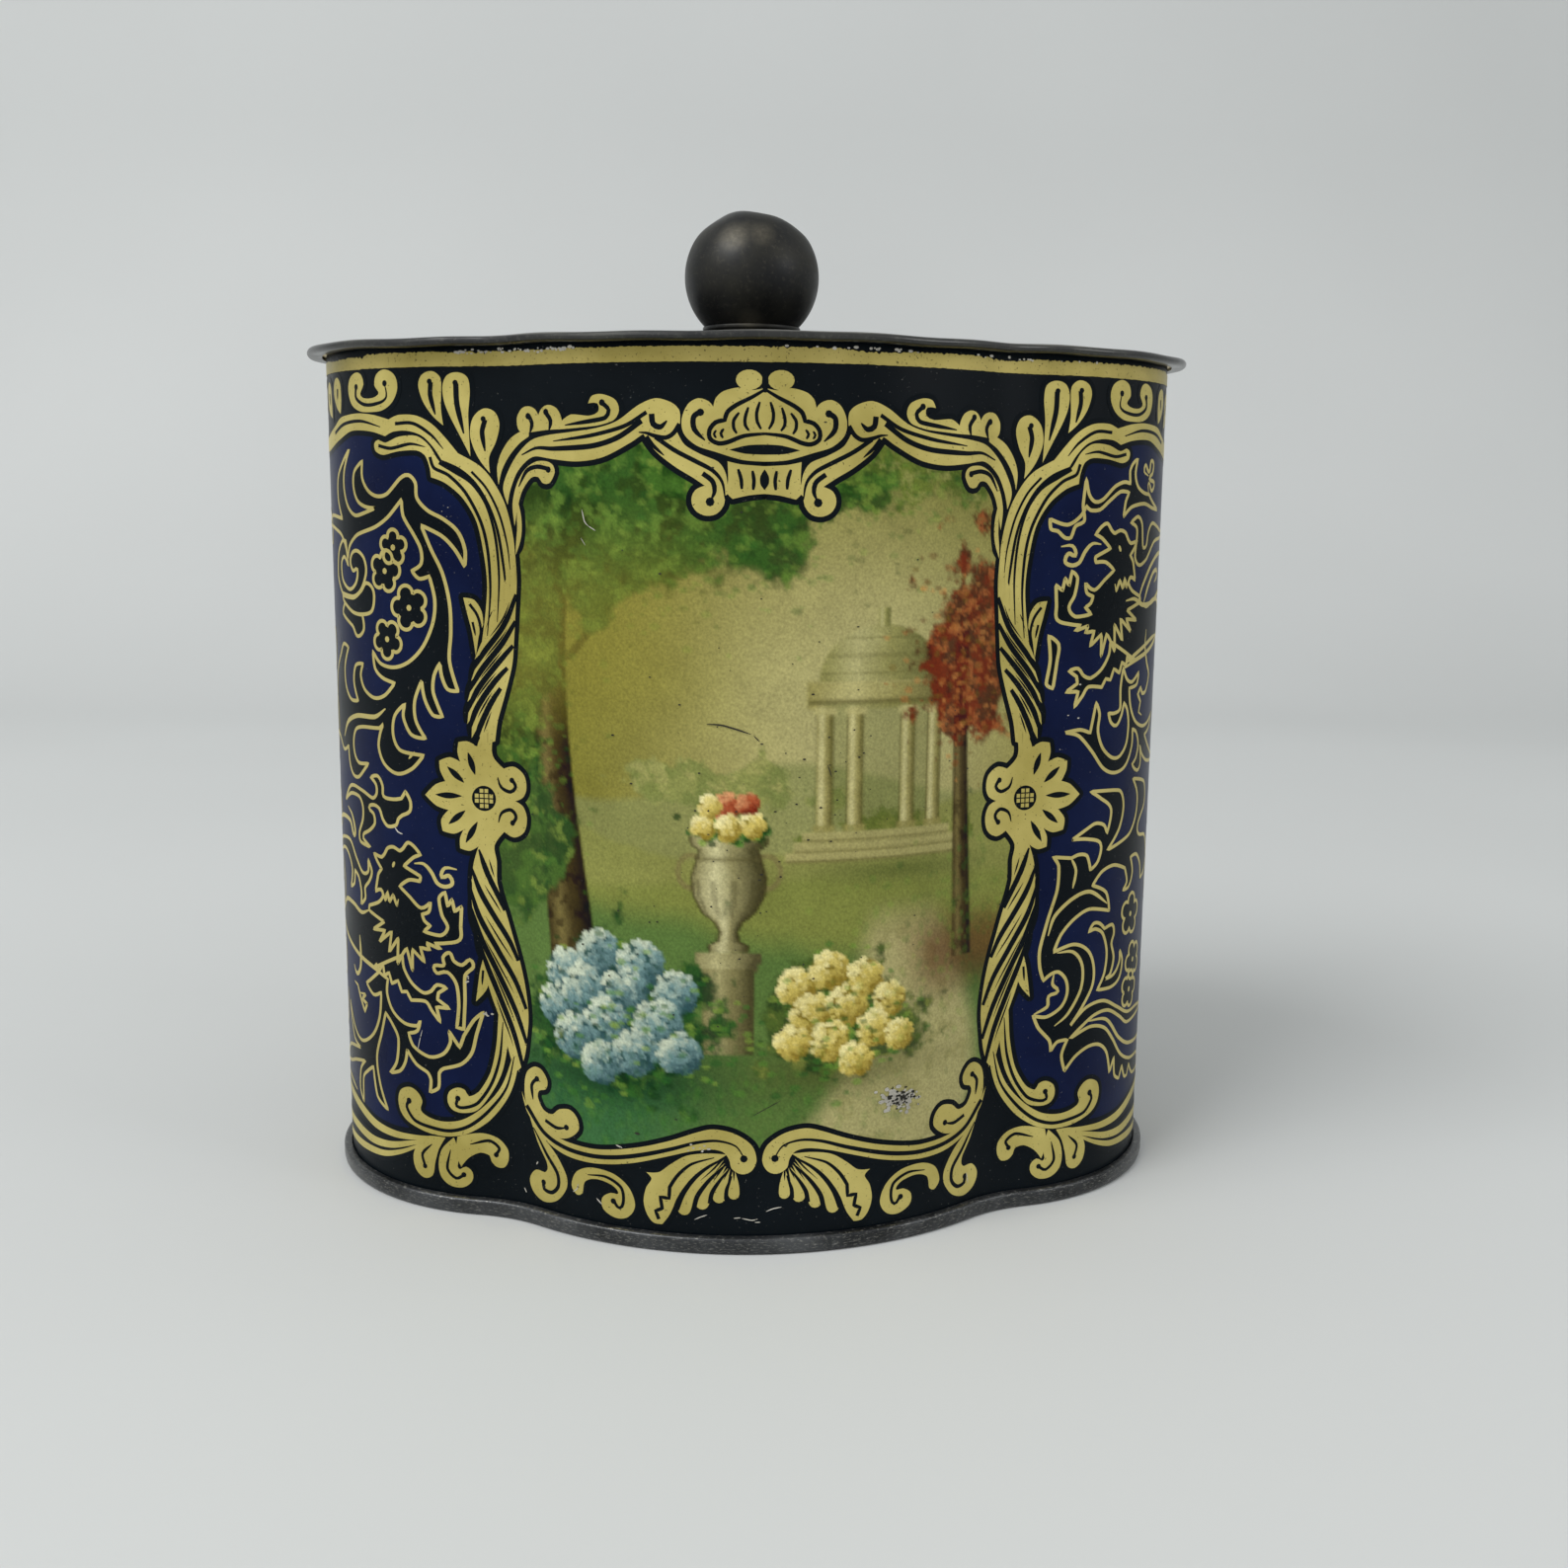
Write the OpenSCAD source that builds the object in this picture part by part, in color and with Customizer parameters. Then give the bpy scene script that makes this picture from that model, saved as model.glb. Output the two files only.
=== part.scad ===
// Bobbin box: a printed tinplate caddy with a slip lid and a round knob.
//
// The tin stands on the plane z = 0 with its origin under its middle, +X to
// its right end and -Y to its front. Seen from above it is a lobed outline:
// a bowed front and back, two round ends, and a hollow curve that blends each
// bow into each end. Each sheet piece is one profile carried round stations
// on that outline. A profile is drawn in [n, z]: n is the distance outward
// from the outside of the body sheet, and z is the height above the table.

/* [Body] */
// Length of the body from end to end
body_w = 130; // [116:1:146]
// Depth of the body from front to back
body_d = 90; // [84:1:98]
// Height of the body's mouth above the table
body_h = 126.75; // [60:0.25:180]
// Radius of the bowed front and back
bow_r = 51; // [48:1:60]
// Radius of the round ends
end_r = 30.5; // [28:0.5:34]
// Radius of the hollow curve between a bow and an end
hollow_r = 24; // [14:1:36]

/* [Sheet] */
// Thickness of the tinplate of body, base and lid
sheet = 0.3; // [0.2:0.05:0.4]
// Gap between the layers of the folded foot seam
seam_gap = 0.16; // [0.08:0.02:0.24]
// Gap inside the folded hem at the mouth
hem_gap = 0.1; // [0.05:0.05:0.3]
// Gap between the layers crimped together in the lid's edge
crimp_gap = 0.2; // [0.1:0.05:0.3]

/* [Foot] */
// Height of the foot seam
seam_h = 2.5; // [2.2:0.1:4]
// Height of the base panel's underside above the table
base_rise = 3; // [2:0.25:6]

/* [Mouth] */
// Depth of the hem folded into the mouth
hem_h = 5; // [2:0.5:8]
// Width of the lock seam inside the left end
lock_w = 5; // [3:0.5:8]
// Layers of sheet folded inward in the lock seam
lock_layers = 3; // [2:1:3]
// Distance from the lock seam's ends to the base and to the lid's collar
lock_clear = 2; // [1:0.5:5]

/* [Lid] */
// Reach of the lid's edge past the body
lid_lip = 2.8; // [2:0.1:5]
// Gap from the body to the fold under the lid's edge
fold_gap = 0.6; // [0.4:0.1:1]
// Distance from the body's outside in to the foot of the raised panel
step_in = 6; // [3:0.5:9]
// Width of the slope up to the raised panel
step_w = 3; // [1:0.5:4]
// Rise of the panel above the lid's edge
step_h = 0.9; // [0.4:0.1:2.5]
// Depth of the collar inside the mouth
collar_h = 10; // [6:0.5:16]
// Running gap between the collar and the hem
collar_gap = 0.3; // [0.25:0.05:0.6]

/* [Knob] */
// Radius of the knob's ball
ball_r = 10.4; // [9:0.1:14]
// Thickness of the pressed ball
ball_t = 0.5; // [0.3:0.1:0.8]
// Radius of the neck
neck_r = 7.25; // [6.5:0.25:8.5]
// Height of the neck
neck_h = 3.9; // [3:0.1:6]
// Thickness of the neck's wall
neck_t = 0.5; // [0.3:0.1:0.8]
// Thickness of the neck's floor
floor_t = 0.6; // [0.4:0.1:1.2]
// How far the rolled lip stands out of the neck
lip_out = 0.35; // [0.2:0.05:0.6]
// Height of the rolled lip
lip_h = 0.6; // [0.4:0.1:1]
// Length of the ball's spigot inside the neck
spigot_h = 2.2; // [1:0.1:2.3]
// Gap between the spigot and the neck
spigot_gap = 0.1; // [0.05:0.05:0.2]

/* [Fasteners] */
// Radius of the screw's shank
screw_r = 2; // [1.5:0.25:2]
// Length of shank that shows past the nut
screw_end = 0.8; // [0.4:0.2:3]
// Radius of the screw's head
head_r = 3.8; // [3.4:0.1:4.5]
// Height of the screw's head
head_h = 2.2; // [1.6:0.1:3]
// Width of the screwdriver slot
slot_w = 1; // [0.8:0.1:1.2]
// Depth of the screwdriver slot
slot_h = 1; // [0.6:0.1:1.2]
// Width of the nut across its flats
nut_af = 7; // [6:0.5:8]
// Height of the nut
nut_h = 3.2; // [2:0.1:4]
// Radius of the washer
washer_r = 5; // [4.5:0.5:8]
// Thickness of the washer
washer_t = 0.6; // [0.4:0.1:1]
// Gap between the screw and the holes it passes through
hole_gap = 0.3; // [0.2:0.1:0.5]
// Gap between the screw and the nut's bore
thread_gap = 0.05; // [0.02:0.01:0.1]

/* [Hidden] */
$fn = 96;

// The outline's arcs. The hollow's centre lies bow_r + hollow_r from the
// bow's centre and end_r + hollow_r from the end's centre.
bow_y = bow_r - body_d / 2;
end_x = body_w / 2 - end_r;
reach_bow = bow_r + hollow_r;
reach_end = end_r + hollow_r;
centres = norm([end_x, bow_y]);
along = (reach_bow ^ 2 - reach_end ^ 2 + centres ^ 2) / (2 * centres);
across = sqrt(reach_bow ^ 2 - along ^ 2);
hollow_x = (along * end_x - across * bow_y) / centres;
hollow_y = (along * bow_y + across * end_x) / centres - bow_y;

// Angles from the front's normal to where the arcs meet
bow_a = atan2(hollow_x, hollow_y + bow_y);
end_a = atan2(hollow_x - end_x, hollow_y);

// Each arc: centre, start angle, turn, radius, 1 where it bulges outward or -1
// where it is hollow, and its number of stations. They run counterclockwise
// from the left of the front. An even number puts a station at the middle.
bow_steps = 12;
hollow_steps = 3;
end_steps = 20;
arcs = [
    [[0, bow_y], 270 - bow_a, 2 * bow_a, bow_r, 1, bow_steps],
    [[hollow_x, -hollow_y], 90 + bow_a, end_a - bow_a, hollow_r, -1, hollow_steps],
    [[end_x, 0], 270 + end_a, 180 - 2 * end_a, end_r, 1, end_steps],
    [[hollow_x, hollow_y], 270 - end_a, end_a - bow_a, hollow_r, -1, hollow_steps],
    [[0, -bow_y], 90 - bow_a, 2 * bow_a, bow_r, 1, bow_steps],
    [[-hollow_x, hollow_y], 270 + bow_a, end_a - bow_a, hollow_r, -1, hollow_steps],
    [[-end_x, 0], 90 + end_a, 180 - 2 * end_a, end_r, 1, end_steps],
    [[-hollow_x, -hollow_y], 90 - end_a, end_a - bow_a, hollow_r, -1, hollow_steps]
];

// Foot seam, from the inside out: the base's wall, the body sheet, the base's
// hook, the body's hook and the base's outer wall
base_out = -sheet - seam_gap;
base_in = base_out - sheet;
base_hook = seam_gap;
body_hook = base_hook + sheet + seam_gap;
seam_in = body_hook + sheet + seam_gap;
seam_out = seam_in + sheet;
fold_z = sheet + seam_gap;
base_top = base_rise + sheet;

// Mouth and collar
hem_out = -sheet - hem_gap;
hem_in = hem_out - sheet;
collar_out = hem_in - collar_gap;
collar_in = collar_out - sheet;
collar_z = body_h - collar_h;

// Lid
rim_t = 3 * sheet + 2 * crimp_gap;
rim_z = body_h - sheet - crimp_gap;
rim_top = rim_z + rim_t;
bead_r = rim_t / 2;
bead_n = lid_lip - bead_r;
panel_top = rim_top + step_h;
panel_z = panel_top - sheet;
step_end = -step_in - step_w;

// Knob and its fasteners
neck_top = panel_top + neck_h;
ball_z = neck_top + sqrt(ball_r ^ 2 - neck_r ^ 2);
spigot_r = neck_r - neck_t - spigot_gap;
floor_z = panel_top + floor_t;
washer_z = panel_z - washer_t;
hole_r = screw_r + hole_gap;
cut = 1;

function ray(a) = [cos(a), sin(a)];

function round_run(c, r, from, to, n) = [for (i = [0 : n]) c + r * ray(from + (to - from) * i / n)];

// Points of the outline at a distance outward from the body sheet
function outline(n) = [
    for (a = arcs) for (i = [0 : a[5] - 1])
        a[0] + (a[3] + a[4] * n) * ray(a[1] + a[2] * i / a[5])
];

// Carries a profile, drawn clockwise, right round the outline. It closes on
// itself as a ring. With panel it runs from a flat panel's top, out round the
// panel's edge and back to its underside, and the panel's two faces close it.
module sweep(profile, panel = false) {
    rings = [for (p = profile) [for (q = outline(p[0])) [q[0], q[1], p[1]]]];
    n = len(rings[0]);
    last = len(profile) - 1;
    sides = [
        for (j = [0 : panel ? last - 1 : last]) for (i = [0 : n - 1])
            let(k = (i + 1) % n, next = j == last ? 0 : j + 1)
                [j * n + i, j * n + k, next * n + k, next * n + i]
    ];
    top = [for (i = [n - 1 : -1 : 0]) i];
    bottom = [for (i = [0 : n - 1]) last * n + i];
    polyhedron([for (ring = rings) each ring], panel ? concat(sides, [top, bottom]) : sides);
}

// Printed sheet: hooked out at the foot, hemmed in at the mouth and closed by
// a lock seam down the middle of the left end
module body_wall() {
    wall = [
        [-sheet, fold_z],
        [-sheet, body_h - sheet],
        [hem_out, body_h - sheet],
        [hem_out, body_h - hem_h],
        [hem_in, body_h - hem_h],
        [hem_in, body_h],
        [0, body_h],
        [0, fold_z + sheet],
        [body_hook, fold_z + sheet],
        [body_hook, seam_h - sheet - seam_gap],
        [body_hook + sheet, seam_h - sheet - seam_gap],
        [body_hook + sheet, fold_z]
    ];
    lock_low = base_top + lock_clear;
    lock_high = collar_z - lock_clear;
    lock_in = -sheet * (1 + lock_layers);
    color("#1b2230") {
        sweep(wall);
        intersection() {
            sweep([[lock_in, lock_low], [lock_in, lock_high], [-sheet / 2, lock_high], [-sheet / 2, lock_low]]);
            translate([-body_w / 2, -lock_w / 2, 0]) cube([end_r, lock_w, body_h]);
        }
    }
}

// Base: a raised panel inside a wall that is folded round the body's hook
module base_pan() {
    pan = [
        [base_out, base_top],
        [base_out, sheet],
        [seam_in, sheet],
        [seam_in, seam_h - sheet],
        [base_hook + sheet, seam_h - sheet],
        [base_hook + sheet, fold_z + sheet + seam_gap],
        [base_hook, fold_z + sheet + seam_gap],
        [base_hook, seam_h],
        [seam_out, seam_h],
        [seam_out, 0],
        [base_in, 0],
        [base_in, base_rise]
    ];
    color("#5b554c") sweep(pan, panel = true);
}

// Lid: a raised panel whose edge is rolled over and folded under
module lid_cover() {
    bead = [bead_n, rim_z + bead_r];
    edge = concat(
        [[step_end, panel_top], [-step_in, rim_top]],
        round_run(bead, bead_r, 90, -90, 6),
        [[fold_gap, rim_z], [fold_gap, rim_z + sheet]],
        round_run(bead, bead_r - sheet, -90, 90, 4),
        [[-step_in, rim_top - sheet], [step_end, panel_z]]
    );
    color("#6a6358") difference() {
        sweep(edge, panel = true);
        translate([0, 0, panel_z - cut]) cylinder(r = hole_r, h = sheet + 2 * cut);
    }
}

// Collar that slips into the mouth, with its flange crimped in the lid's edge
module lid_plug_ring() {
    ring = [
        [collar_in, body_h + sheet],
        [bead_n, body_h + sheet],
        [bead_n, body_h],
        [collar_out, body_h],
        [collar_out, collar_z],
        [collar_in, collar_z]
    ];
    color("#b9a468") sweep(ring);
}

// Hollow pressed ball with a spigot that stands inside the neck
module knob_ball() {
    color("#5f5950") difference() {
        union() {
            intersection() {
                translate([0, 0, ball_z]) sphere(r = ball_r);
                translate([0, 0, neck_top]) cylinder(r = ball_r + cut, h = 2 * ball_r);
            }
            translate([0, 0, neck_top - spigot_h]) cylinder(r = spigot_r, h = spigot_h + ball_t);
        }
        translate([0, 0, ball_z]) sphere(r = ball_r - ball_t);
        translate([0, 0, neck_top - spigot_h - cut]) cylinder(r = spigot_r - ball_t, h = ball_z - neck_top);
    }
}

// Neck: a cup with a rolled lip that the ball sits on
module knob_collar() {
    color("#57514a") difference() {
        union() {
            translate([0, 0, panel_top]) cylinder(r = neck_r, h = neck_h);
            translate([0, 0, neck_top - lip_h]) cylinder(r = neck_r + lip_out, h = lip_h);
        }
        translate([0, 0, floor_z]) cylinder(r = neck_r - neck_t, h = neck_h);
        translate([0, 0, panel_top - cut]) cylinder(r = hole_r, h = floor_t + 2 * cut);
    }
}

// Nut held inside the neck
module knob_insert_nut() {
    color("#8a8a86") translate([0, 0, floor_z]) difference() {
        cylinder(r = nut_af / 2 / cos(30), h = nut_h, $fn = 6);
        translate([0, 0, -cut]) cylinder(r = screw_r + thread_gap, h = nut_h + 2 * cut);
    }
}

// Washer under the lid's panel
module screw_washer() {
    color("#8f8c84") translate([0, 0, washer_z]) difference() {
        cylinder(r = washer_r, h = washer_t);
        translate([0, 0, -cut]) cylinder(r = hole_r, h = washer_t + 2 * cut);
    }
}

// Slotted screw that holds the knob, driven from under the lid
module knob_screw() {
    color("#8a8a86") difference() {
        union() {
            translate([0, 0, washer_z]) cylinder(r = screw_r, h = floor_z + nut_h + screw_end - washer_z);
            translate([0, 0, washer_z - head_h / 2]) cylinder(r = head_r, h = head_h / 2);
            translate([0, 0, washer_z - head_h]) cylinder(r1 = head_r - head_h / 2, r2 = head_r, h = head_h / 2);
        }
        translate([0, 0, washer_z - head_h]) cube([2 * head_r + cut, slot_w, 2 * slot_h], center = true);
    }
}

body_wall();
base_pan();
lid_cover();
lid_plug_ring();
knob_ball();
knob_collar();
knob_insert_nut();
screw_washer();
knob_screw();
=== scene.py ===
# %% [markdown]
# # Bobbin box
# The object is a printed tinplate caddy: a lobed body of one bent sheet, a base folded round
# its foot, a slip lid with a rolled edge and a hollow pressed knob. Tins like this are kept
# for sewing bobbins long after the sweets are eaten.
#
# The construction model already fixes every dimension, and it is loaded here as a frame.
# This lesson dresses it: the sheet pieces get the smooth rounds that pressing and rolling
# give, and the printed decoration is laid on the wall as thin films of ink, the way a
# lithographic press lays it down one colour at a time.

import math

import bpy
import numpy as np
from mathutils import Matrix, Vector
from mathutils.geometry import delaunay_2d_cdt


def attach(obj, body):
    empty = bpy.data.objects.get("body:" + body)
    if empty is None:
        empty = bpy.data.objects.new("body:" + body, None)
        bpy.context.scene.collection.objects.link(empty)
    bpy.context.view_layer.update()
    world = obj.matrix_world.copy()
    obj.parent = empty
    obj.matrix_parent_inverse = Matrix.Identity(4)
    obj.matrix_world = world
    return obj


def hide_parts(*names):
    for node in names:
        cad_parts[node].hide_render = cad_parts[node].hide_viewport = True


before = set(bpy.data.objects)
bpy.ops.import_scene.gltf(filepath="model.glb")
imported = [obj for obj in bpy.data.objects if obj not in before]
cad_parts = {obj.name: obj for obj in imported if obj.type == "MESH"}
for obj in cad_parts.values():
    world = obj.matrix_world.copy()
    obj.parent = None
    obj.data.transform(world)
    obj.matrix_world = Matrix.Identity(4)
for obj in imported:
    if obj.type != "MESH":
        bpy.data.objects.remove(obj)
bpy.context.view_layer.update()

# %% [markdown]
# ## Working in millimetres
# A tinsmith thinks in millimetres, so every number below is one, and MM turns it to metres at
# the last moment. Three small helpers do the handing over to Blender: one lists the faces of a
# grid of points, one closes a grid's ends, and one puts points and faces into a mesh object.

# %% Helpers for meshes
MM = 0.001


def grid_faces(rows, cols, ring_rows=False, ring_cols=False):
    """Four-cornered faces of a grid whose points are numbered row by row. A face joins point
    (row, col) to its neighbours in the next row and column, and a ring joins last to first.
    Seen from the front, rows run down and columns run to the right."""
    row = np.arange(rows if ring_rows else rows - 1)[:, None]
    col = np.arange(cols if ring_cols else cols - 1)[None, :]
    below = (row + 1) % rows
    right = (col + 1) % cols
    corners = [row * cols + col, below * cols + col, below * cols + right, row * cols + right]
    return np.stack([c + 0 * row + 0 * col for c in corners], axis=-1).reshape(-1, 4)


def pole_faces(rows, cols):
    """Two fans of triangles that close the first and last row of a ringed grid on two points,
    which are numbered after the grid's own."""
    col = np.arange(cols)
    after = (col + 1) % cols
    peak, last = rows * cols, (rows - 1) * cols
    top = np.stack([peak + 0 * col, col, after], -1)
    under = np.stack([peak + 1 + 0 * col, last + after, last + col], -1)
    return [*top.tolist(), *under.tolist()]


def make_object(name, points, faces, crease=35):
    """A mesh object from points in millimetres and a list of faces. Edges that turn more than
    crease degrees stay sharp and the rest are shaded smooth."""
    mesh = bpy.data.meshes.new(name)
    mesh.from_pydata((np.asarray(points) * MM).tolist(), [], faces)
    mesh.validate()
    mesh.polygons.foreach_set("use_smooth", np.ones(len(mesh.polygons), bool))
    mesh.set_sharp_from_angle(angle=math.radians(crease))
    piece = bpy.data.objects.new(name, mesh)
    bpy.context.scene.collection.objects.link(piece)
    return piece


print("a grid of 3 by 4 points has", len(grid_faces(3, 4)), "faces")

# %% [markdown]
# ## Helpers for materials
# Colours are written as the hex values a paint program shows. Blender's renderer works with
# linear light, so one function converts them. Every material is a small network of nodes, and
# one function adds a node with its settings and its links.

# %% Colours and nodes


def ink(code):
    """Linear red, green, blue and 1 from an sRGB hex code: each channel c is c / 12.92 up to
    0.04045, and ((c + 0.055) / 1.055) to the power 2.4 above it."""
    srgb = np.array([int(code[i : i + 2], 16) for i in (1, 3, 5)]) / 255
    linear = np.where(srgb <= 0.04045, srgb / 12.92, ((srgb + 0.055) / 1.055) ** 2.4)
    return (*linear.tolist(), 1.0)


def set_inputs(tree, node, inputs):
    """Gives each named or numbered socket a plain value or a link from another's output."""
    for key, value in inputs.items():
        if isinstance(value, bpy.types.NodeSocket):
            tree.links.new(value, node.inputs[key])
        else:
            node.inputs[key].default_value = value


def add_node(tree, kind, inputs=None, **settings):
    """One node of that kind. Settings are its properties, and inputs fills its sockets."""
    node = tree.nodes.new(kind)
    for key, value in settings.items():
        setattr(node, key, value)
    set_inputs(tree, node, inputs or {})
    return node


def new_finish(name):
    """An empty material: gives it with the tree to build it in, its shader, joined to the
    output, and the place of the shaded point in the object's own metres."""
    finish = bpy.data.materials.new(name)
    finish.use_nodes = True
    tree = finish.node_tree
    tree.nodes.clear()
    shader = add_node(tree, "ShaderNodeBsdfPrincipled")
    add_node(tree, "ShaderNodeOutputMaterial", {"Surface": shader.outputs["BSDF"]})
    place = add_node(tree, "ShaderNodeTexCoord").outputs["Object"]
    return finish, tree, shader, place


def stops(node, *pairs):
    """Sets the stops of a colour ramp from pairs of place and hex code or grey value."""
    ramp = node.color_ramp
    while len(ramp.elements) < len(pairs):
        ramp.elements.new(0.5)
    for element, (place, value) in zip(ramp.elements, pairs):
        element.position = place
        element.color = ink(value) if isinstance(value, str) else (value, value, value, 1)
    return node


print("#808080 is", round(ink("#808080")[0], 3), "in linear light")

# %% [markdown]
# ## Finish: tarnished tinplate
# Lid, foot rim and knob are bare tinplate: sheet steel with a few thousandths of a millimetre of tin on
# it. Decades of handling turn the tin brown-grey and blotchy, and the tin rubs through to a lighter grain
# on edges. So it is a metal of middling roughness whose colour wanders over centimetres, with a fine
# speckle about half a millimetre across. The lighter places on the lid's rim and the knob's front also
# carry painted highlight.

# %% Rubbed spots and painted highlights


def rubbed_and_lit_spots(tree, amount, place, grain, rubbed_and_lit):
    """Raises an amount near each given place, as x, y, z and radius in millimetres: 1 at its middle, 0 at
    its radius, broken up by the grain. The lighter spots stand for rubbed tin, and they also carry
    painted highlight and painted bounce light."""
    for x, y, z, radius in rubbed_and_lit:
        gap = add_node(tree, "ShaderNodeVectorMath", {0: place, 1: (x * MM, y * MM, z * MM)},
                       operation="DISTANCE")
        near = add_node(tree, "ShaderNodeMapRange",
                        {"Value": gap.outputs["Value"], "From Min": radius * MM,
                         "From Max": 0.2 * radius * MM})
        broken = add_node(tree, "ShaderNodeMath", {0: near.outputs["Result"], 1: grain},
                          operation="MULTIPLY")
        amount = add_node(tree, "ShaderNodeMath", {0: amount, 1: broken.outputs[0]},
                          operation="MAXIMUM").outputs[0]
    return amount


def worn_and_highlit_level(tree, amount, place, blotch, height_mm):
    """Raises an amount on faces within 0.2 mm of a height, in patches: worn tin on the rim, and a painted
    highlight along the lid's rolled edge.
    """
    height = add_node(tree, "ShaderNodeSeparateXYZ", {0: place}).outputs["Z"]
    off = add_node(tree, "ShaderNodeMath", {0: height, 1: height_mm * MM},
                   operation="SUBTRACT").outputs[0]
    gap = add_node(tree, "ShaderNodeMath", {0: off}, operation="ABSOLUTE").outputs[0]
    near = add_node(tree, "ShaderNodeMapRange",
                    {"Value": gap, "From Min": 0.2 * MM, "From Max": 0.05 * MM}).outputs[0]
    patchy = add_node(tree, "ShaderNodeMath", {0: near, 1: blotch},
                      operation="MULTIPLY").outputs[0]
    return add_node(tree, "ShaderNodeMath", {0: amount, 1: patchy},
                    operation="MAXIMUM").outputs[0]


print("helpers for rubbed spots and a worn edge made")

# %% Tarnished tinplate


def tarnished_tinplate(name, dark, mid, light, rough=0.42, blotch_mm=12, streak=1,
                       speckle=0.5, varnish=0.0, rubbed_and_lit=(), worn_and_highlit_height=0):
    """Bare tinplate. Blotches of blotch_mm mix dark and mid, and a speckle of 0.7 mm scatters light over
    them and lifts the surface a little. streak flattens the speckle into level lines. The listed spots
    and a flat rim at the given height are lighter. They stand for rubbed and worn tin, and they also
    carry painted highlight and painted bounce light."""
    finish, tree, shader, place = new_finish(name)
    blotch = add_node(tree, "ShaderNodeTexNoise",
                      {"Vector": place, "Scale": 1 / (blotch_mm * MM), "Detail": 5,
                       "Roughness": 0.62}).outputs["Fac"]
    tone = stops(add_node(tree, "ShaderNodeValToRGB", {"Fac": blotch}), (0.36, dark), (0.66, mid))
    level = add_node(tree, "ShaderNodeMapping", {"Vector": place, "Scale": (1, 1, streak)})
    grain = add_node(tree, "ShaderNodeTexNoise",
                     {"Vector": level.outputs["Vector"], "Scale": 1 / (0.7 * MM), "Detail": 3,
                      "Roughness": 0.7}).outputs["Fac"]
    speck = stops(add_node(tree, "ShaderNodeValToRGB", {"Fac": grain}), (0.54, 0.0), (0.72, 1.0))
    amount = add_node(tree, "ShaderNodeMath", {0: speck.outputs["Color"], 1: speckle},
                      operation="MULTIPLY").outputs[0]
    amount = rubbed_and_lit_spots(tree, amount, place, grain, rubbed_and_lit)
    if worn_and_highlit_height:
        amount = worn_and_highlit_level(tree, amount, place, blotch, worn_and_highlit_height)
    colour = add_node(tree, "ShaderNodeMix",
                      {"Factor": amount, "A": tone.outputs["Color"], "B": ink(light)},
                      data_type="RGBA")
    polish = add_node(tree, "ShaderNodeMapRange",
                      {"Value": blotch, "From Min": 0.3, "From Max": 0.7,
                       "To Min": rough - 0.08, "To Max": rough + 0.12})
    bump = add_node(tree, "ShaderNodeBump",
                    {"Height": grain, "Strength": 0.25, "Distance": 0.05 * MM})
    set_inputs(tree, shader, {
        "Base Color": colour.outputs["Result"], "Roughness": polish.outputs["Result"],
        "Normal": bump.outputs["Normal"], "Metallic": 0.55, "Coat Weight": varnish,
        "Coat Roughness": 0.12})
    return finish


# The lid's flat rim at its top height is lighter: partly worn tin, partly a painted highlight along the
# rolled edge.
lid_tin = tarnished_tinplate("tinplate_tarnished_lid", "#1d1e1f", "#363632", "#8d8b83", 0.34,
                             speckle=0.16, varnish=0.35, worn_and_highlit_height=127.55)
foot_tin = tarnished_tinplate("tinplate_tarnished_foot", "#1c1e20", "#4a4c4e", "#bcbab2", 0.34,
                              streak=4, speckle=0.4, varnish=0.15)
# Lighter spots on the knob's front, broken up like rubbed tin: the two near the top are a painted
# highlight, and the one near the bottom is painted bounce light.
KNOB_RUBBED_AND_LIT_SPOTS = [(1.1, -8.8, 145.4, 2.6), (-2.9, -8.4, 145.1, 3.2), (-0.5, -7.4, 132.9, 2.4)]
knob_tin = tarnished_tinplate("tinplate_tarnished_knob", "#18191a", "#2c2b25", "#625d50", 0.44,
                              blotch_mm=6, speckle=0.2, rubbed_and_lit=KNOB_RUBBED_AND_LIT_SPOTS)
print("tinplate finishes made")

# %% [markdown]
# ## Finish: lacquer inside, steel fasteners
# Inside, such a tin is roller coated with a clear gold lacquer over the bright tin. It is a
# metal with a warm yellow colour and a smooth surface. The screw, nut and washer are bright
# zinc plated steel, gone a little dull.

# %% Lacquer and steel


def plain_metal(name, colour, rough, scale_mm):
    """A metal of one colour whose roughness wanders a little over scale_mm."""
    finish, tree, shader, place = new_finish(name)
    wander = add_node(tree, "ShaderNodeTexNoise",
                      {"Vector": place, "Scale": 1 / (scale_mm * MM), "Detail": 4})
    polish = add_node(tree, "ShaderNodeMapRange",
                      {"Value": wander.outputs["Fac"], "To Min": rough - 0.08,
                       "To Max": rough + 0.12})
    shade = stops(add_node(tree, "ShaderNodeValToRGB", {"Fac": wander.outputs["Fac"]}),
                  (0.25, colour[0]), (0.7, colour[1]))
    set_inputs(tree, shader, {"Base Color": shade.outputs["Color"],
                              "Roughness": polish.outputs["Result"], "Metallic": 1.0})
    return finish


inside_lacquer = plain_metal("gold_lacquer_inside", ("#b09a5c", "#c9b474"), 0.3, 20)
zinc_steel = plain_metal("zinc_plated_steel", ("#8d8c88", "#b5b3ac"), 0.35, 3)
print("lacquer and steel made")

# %% [markdown]
# ## The outline
# Seen from above the tin is a lobed ring of eight arcs: a bowed front and back, two round
# ends, and four short hollow arcs between them. A place on the wall is easiest to give as a
# printer would, on the flat sheet before it is bent: s millimetres to the right of the middle
# of the front, and z millimetres up. One function bends that flat sheet round the tin, and
# everything that follows is drawn flat and passed through it.

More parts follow.
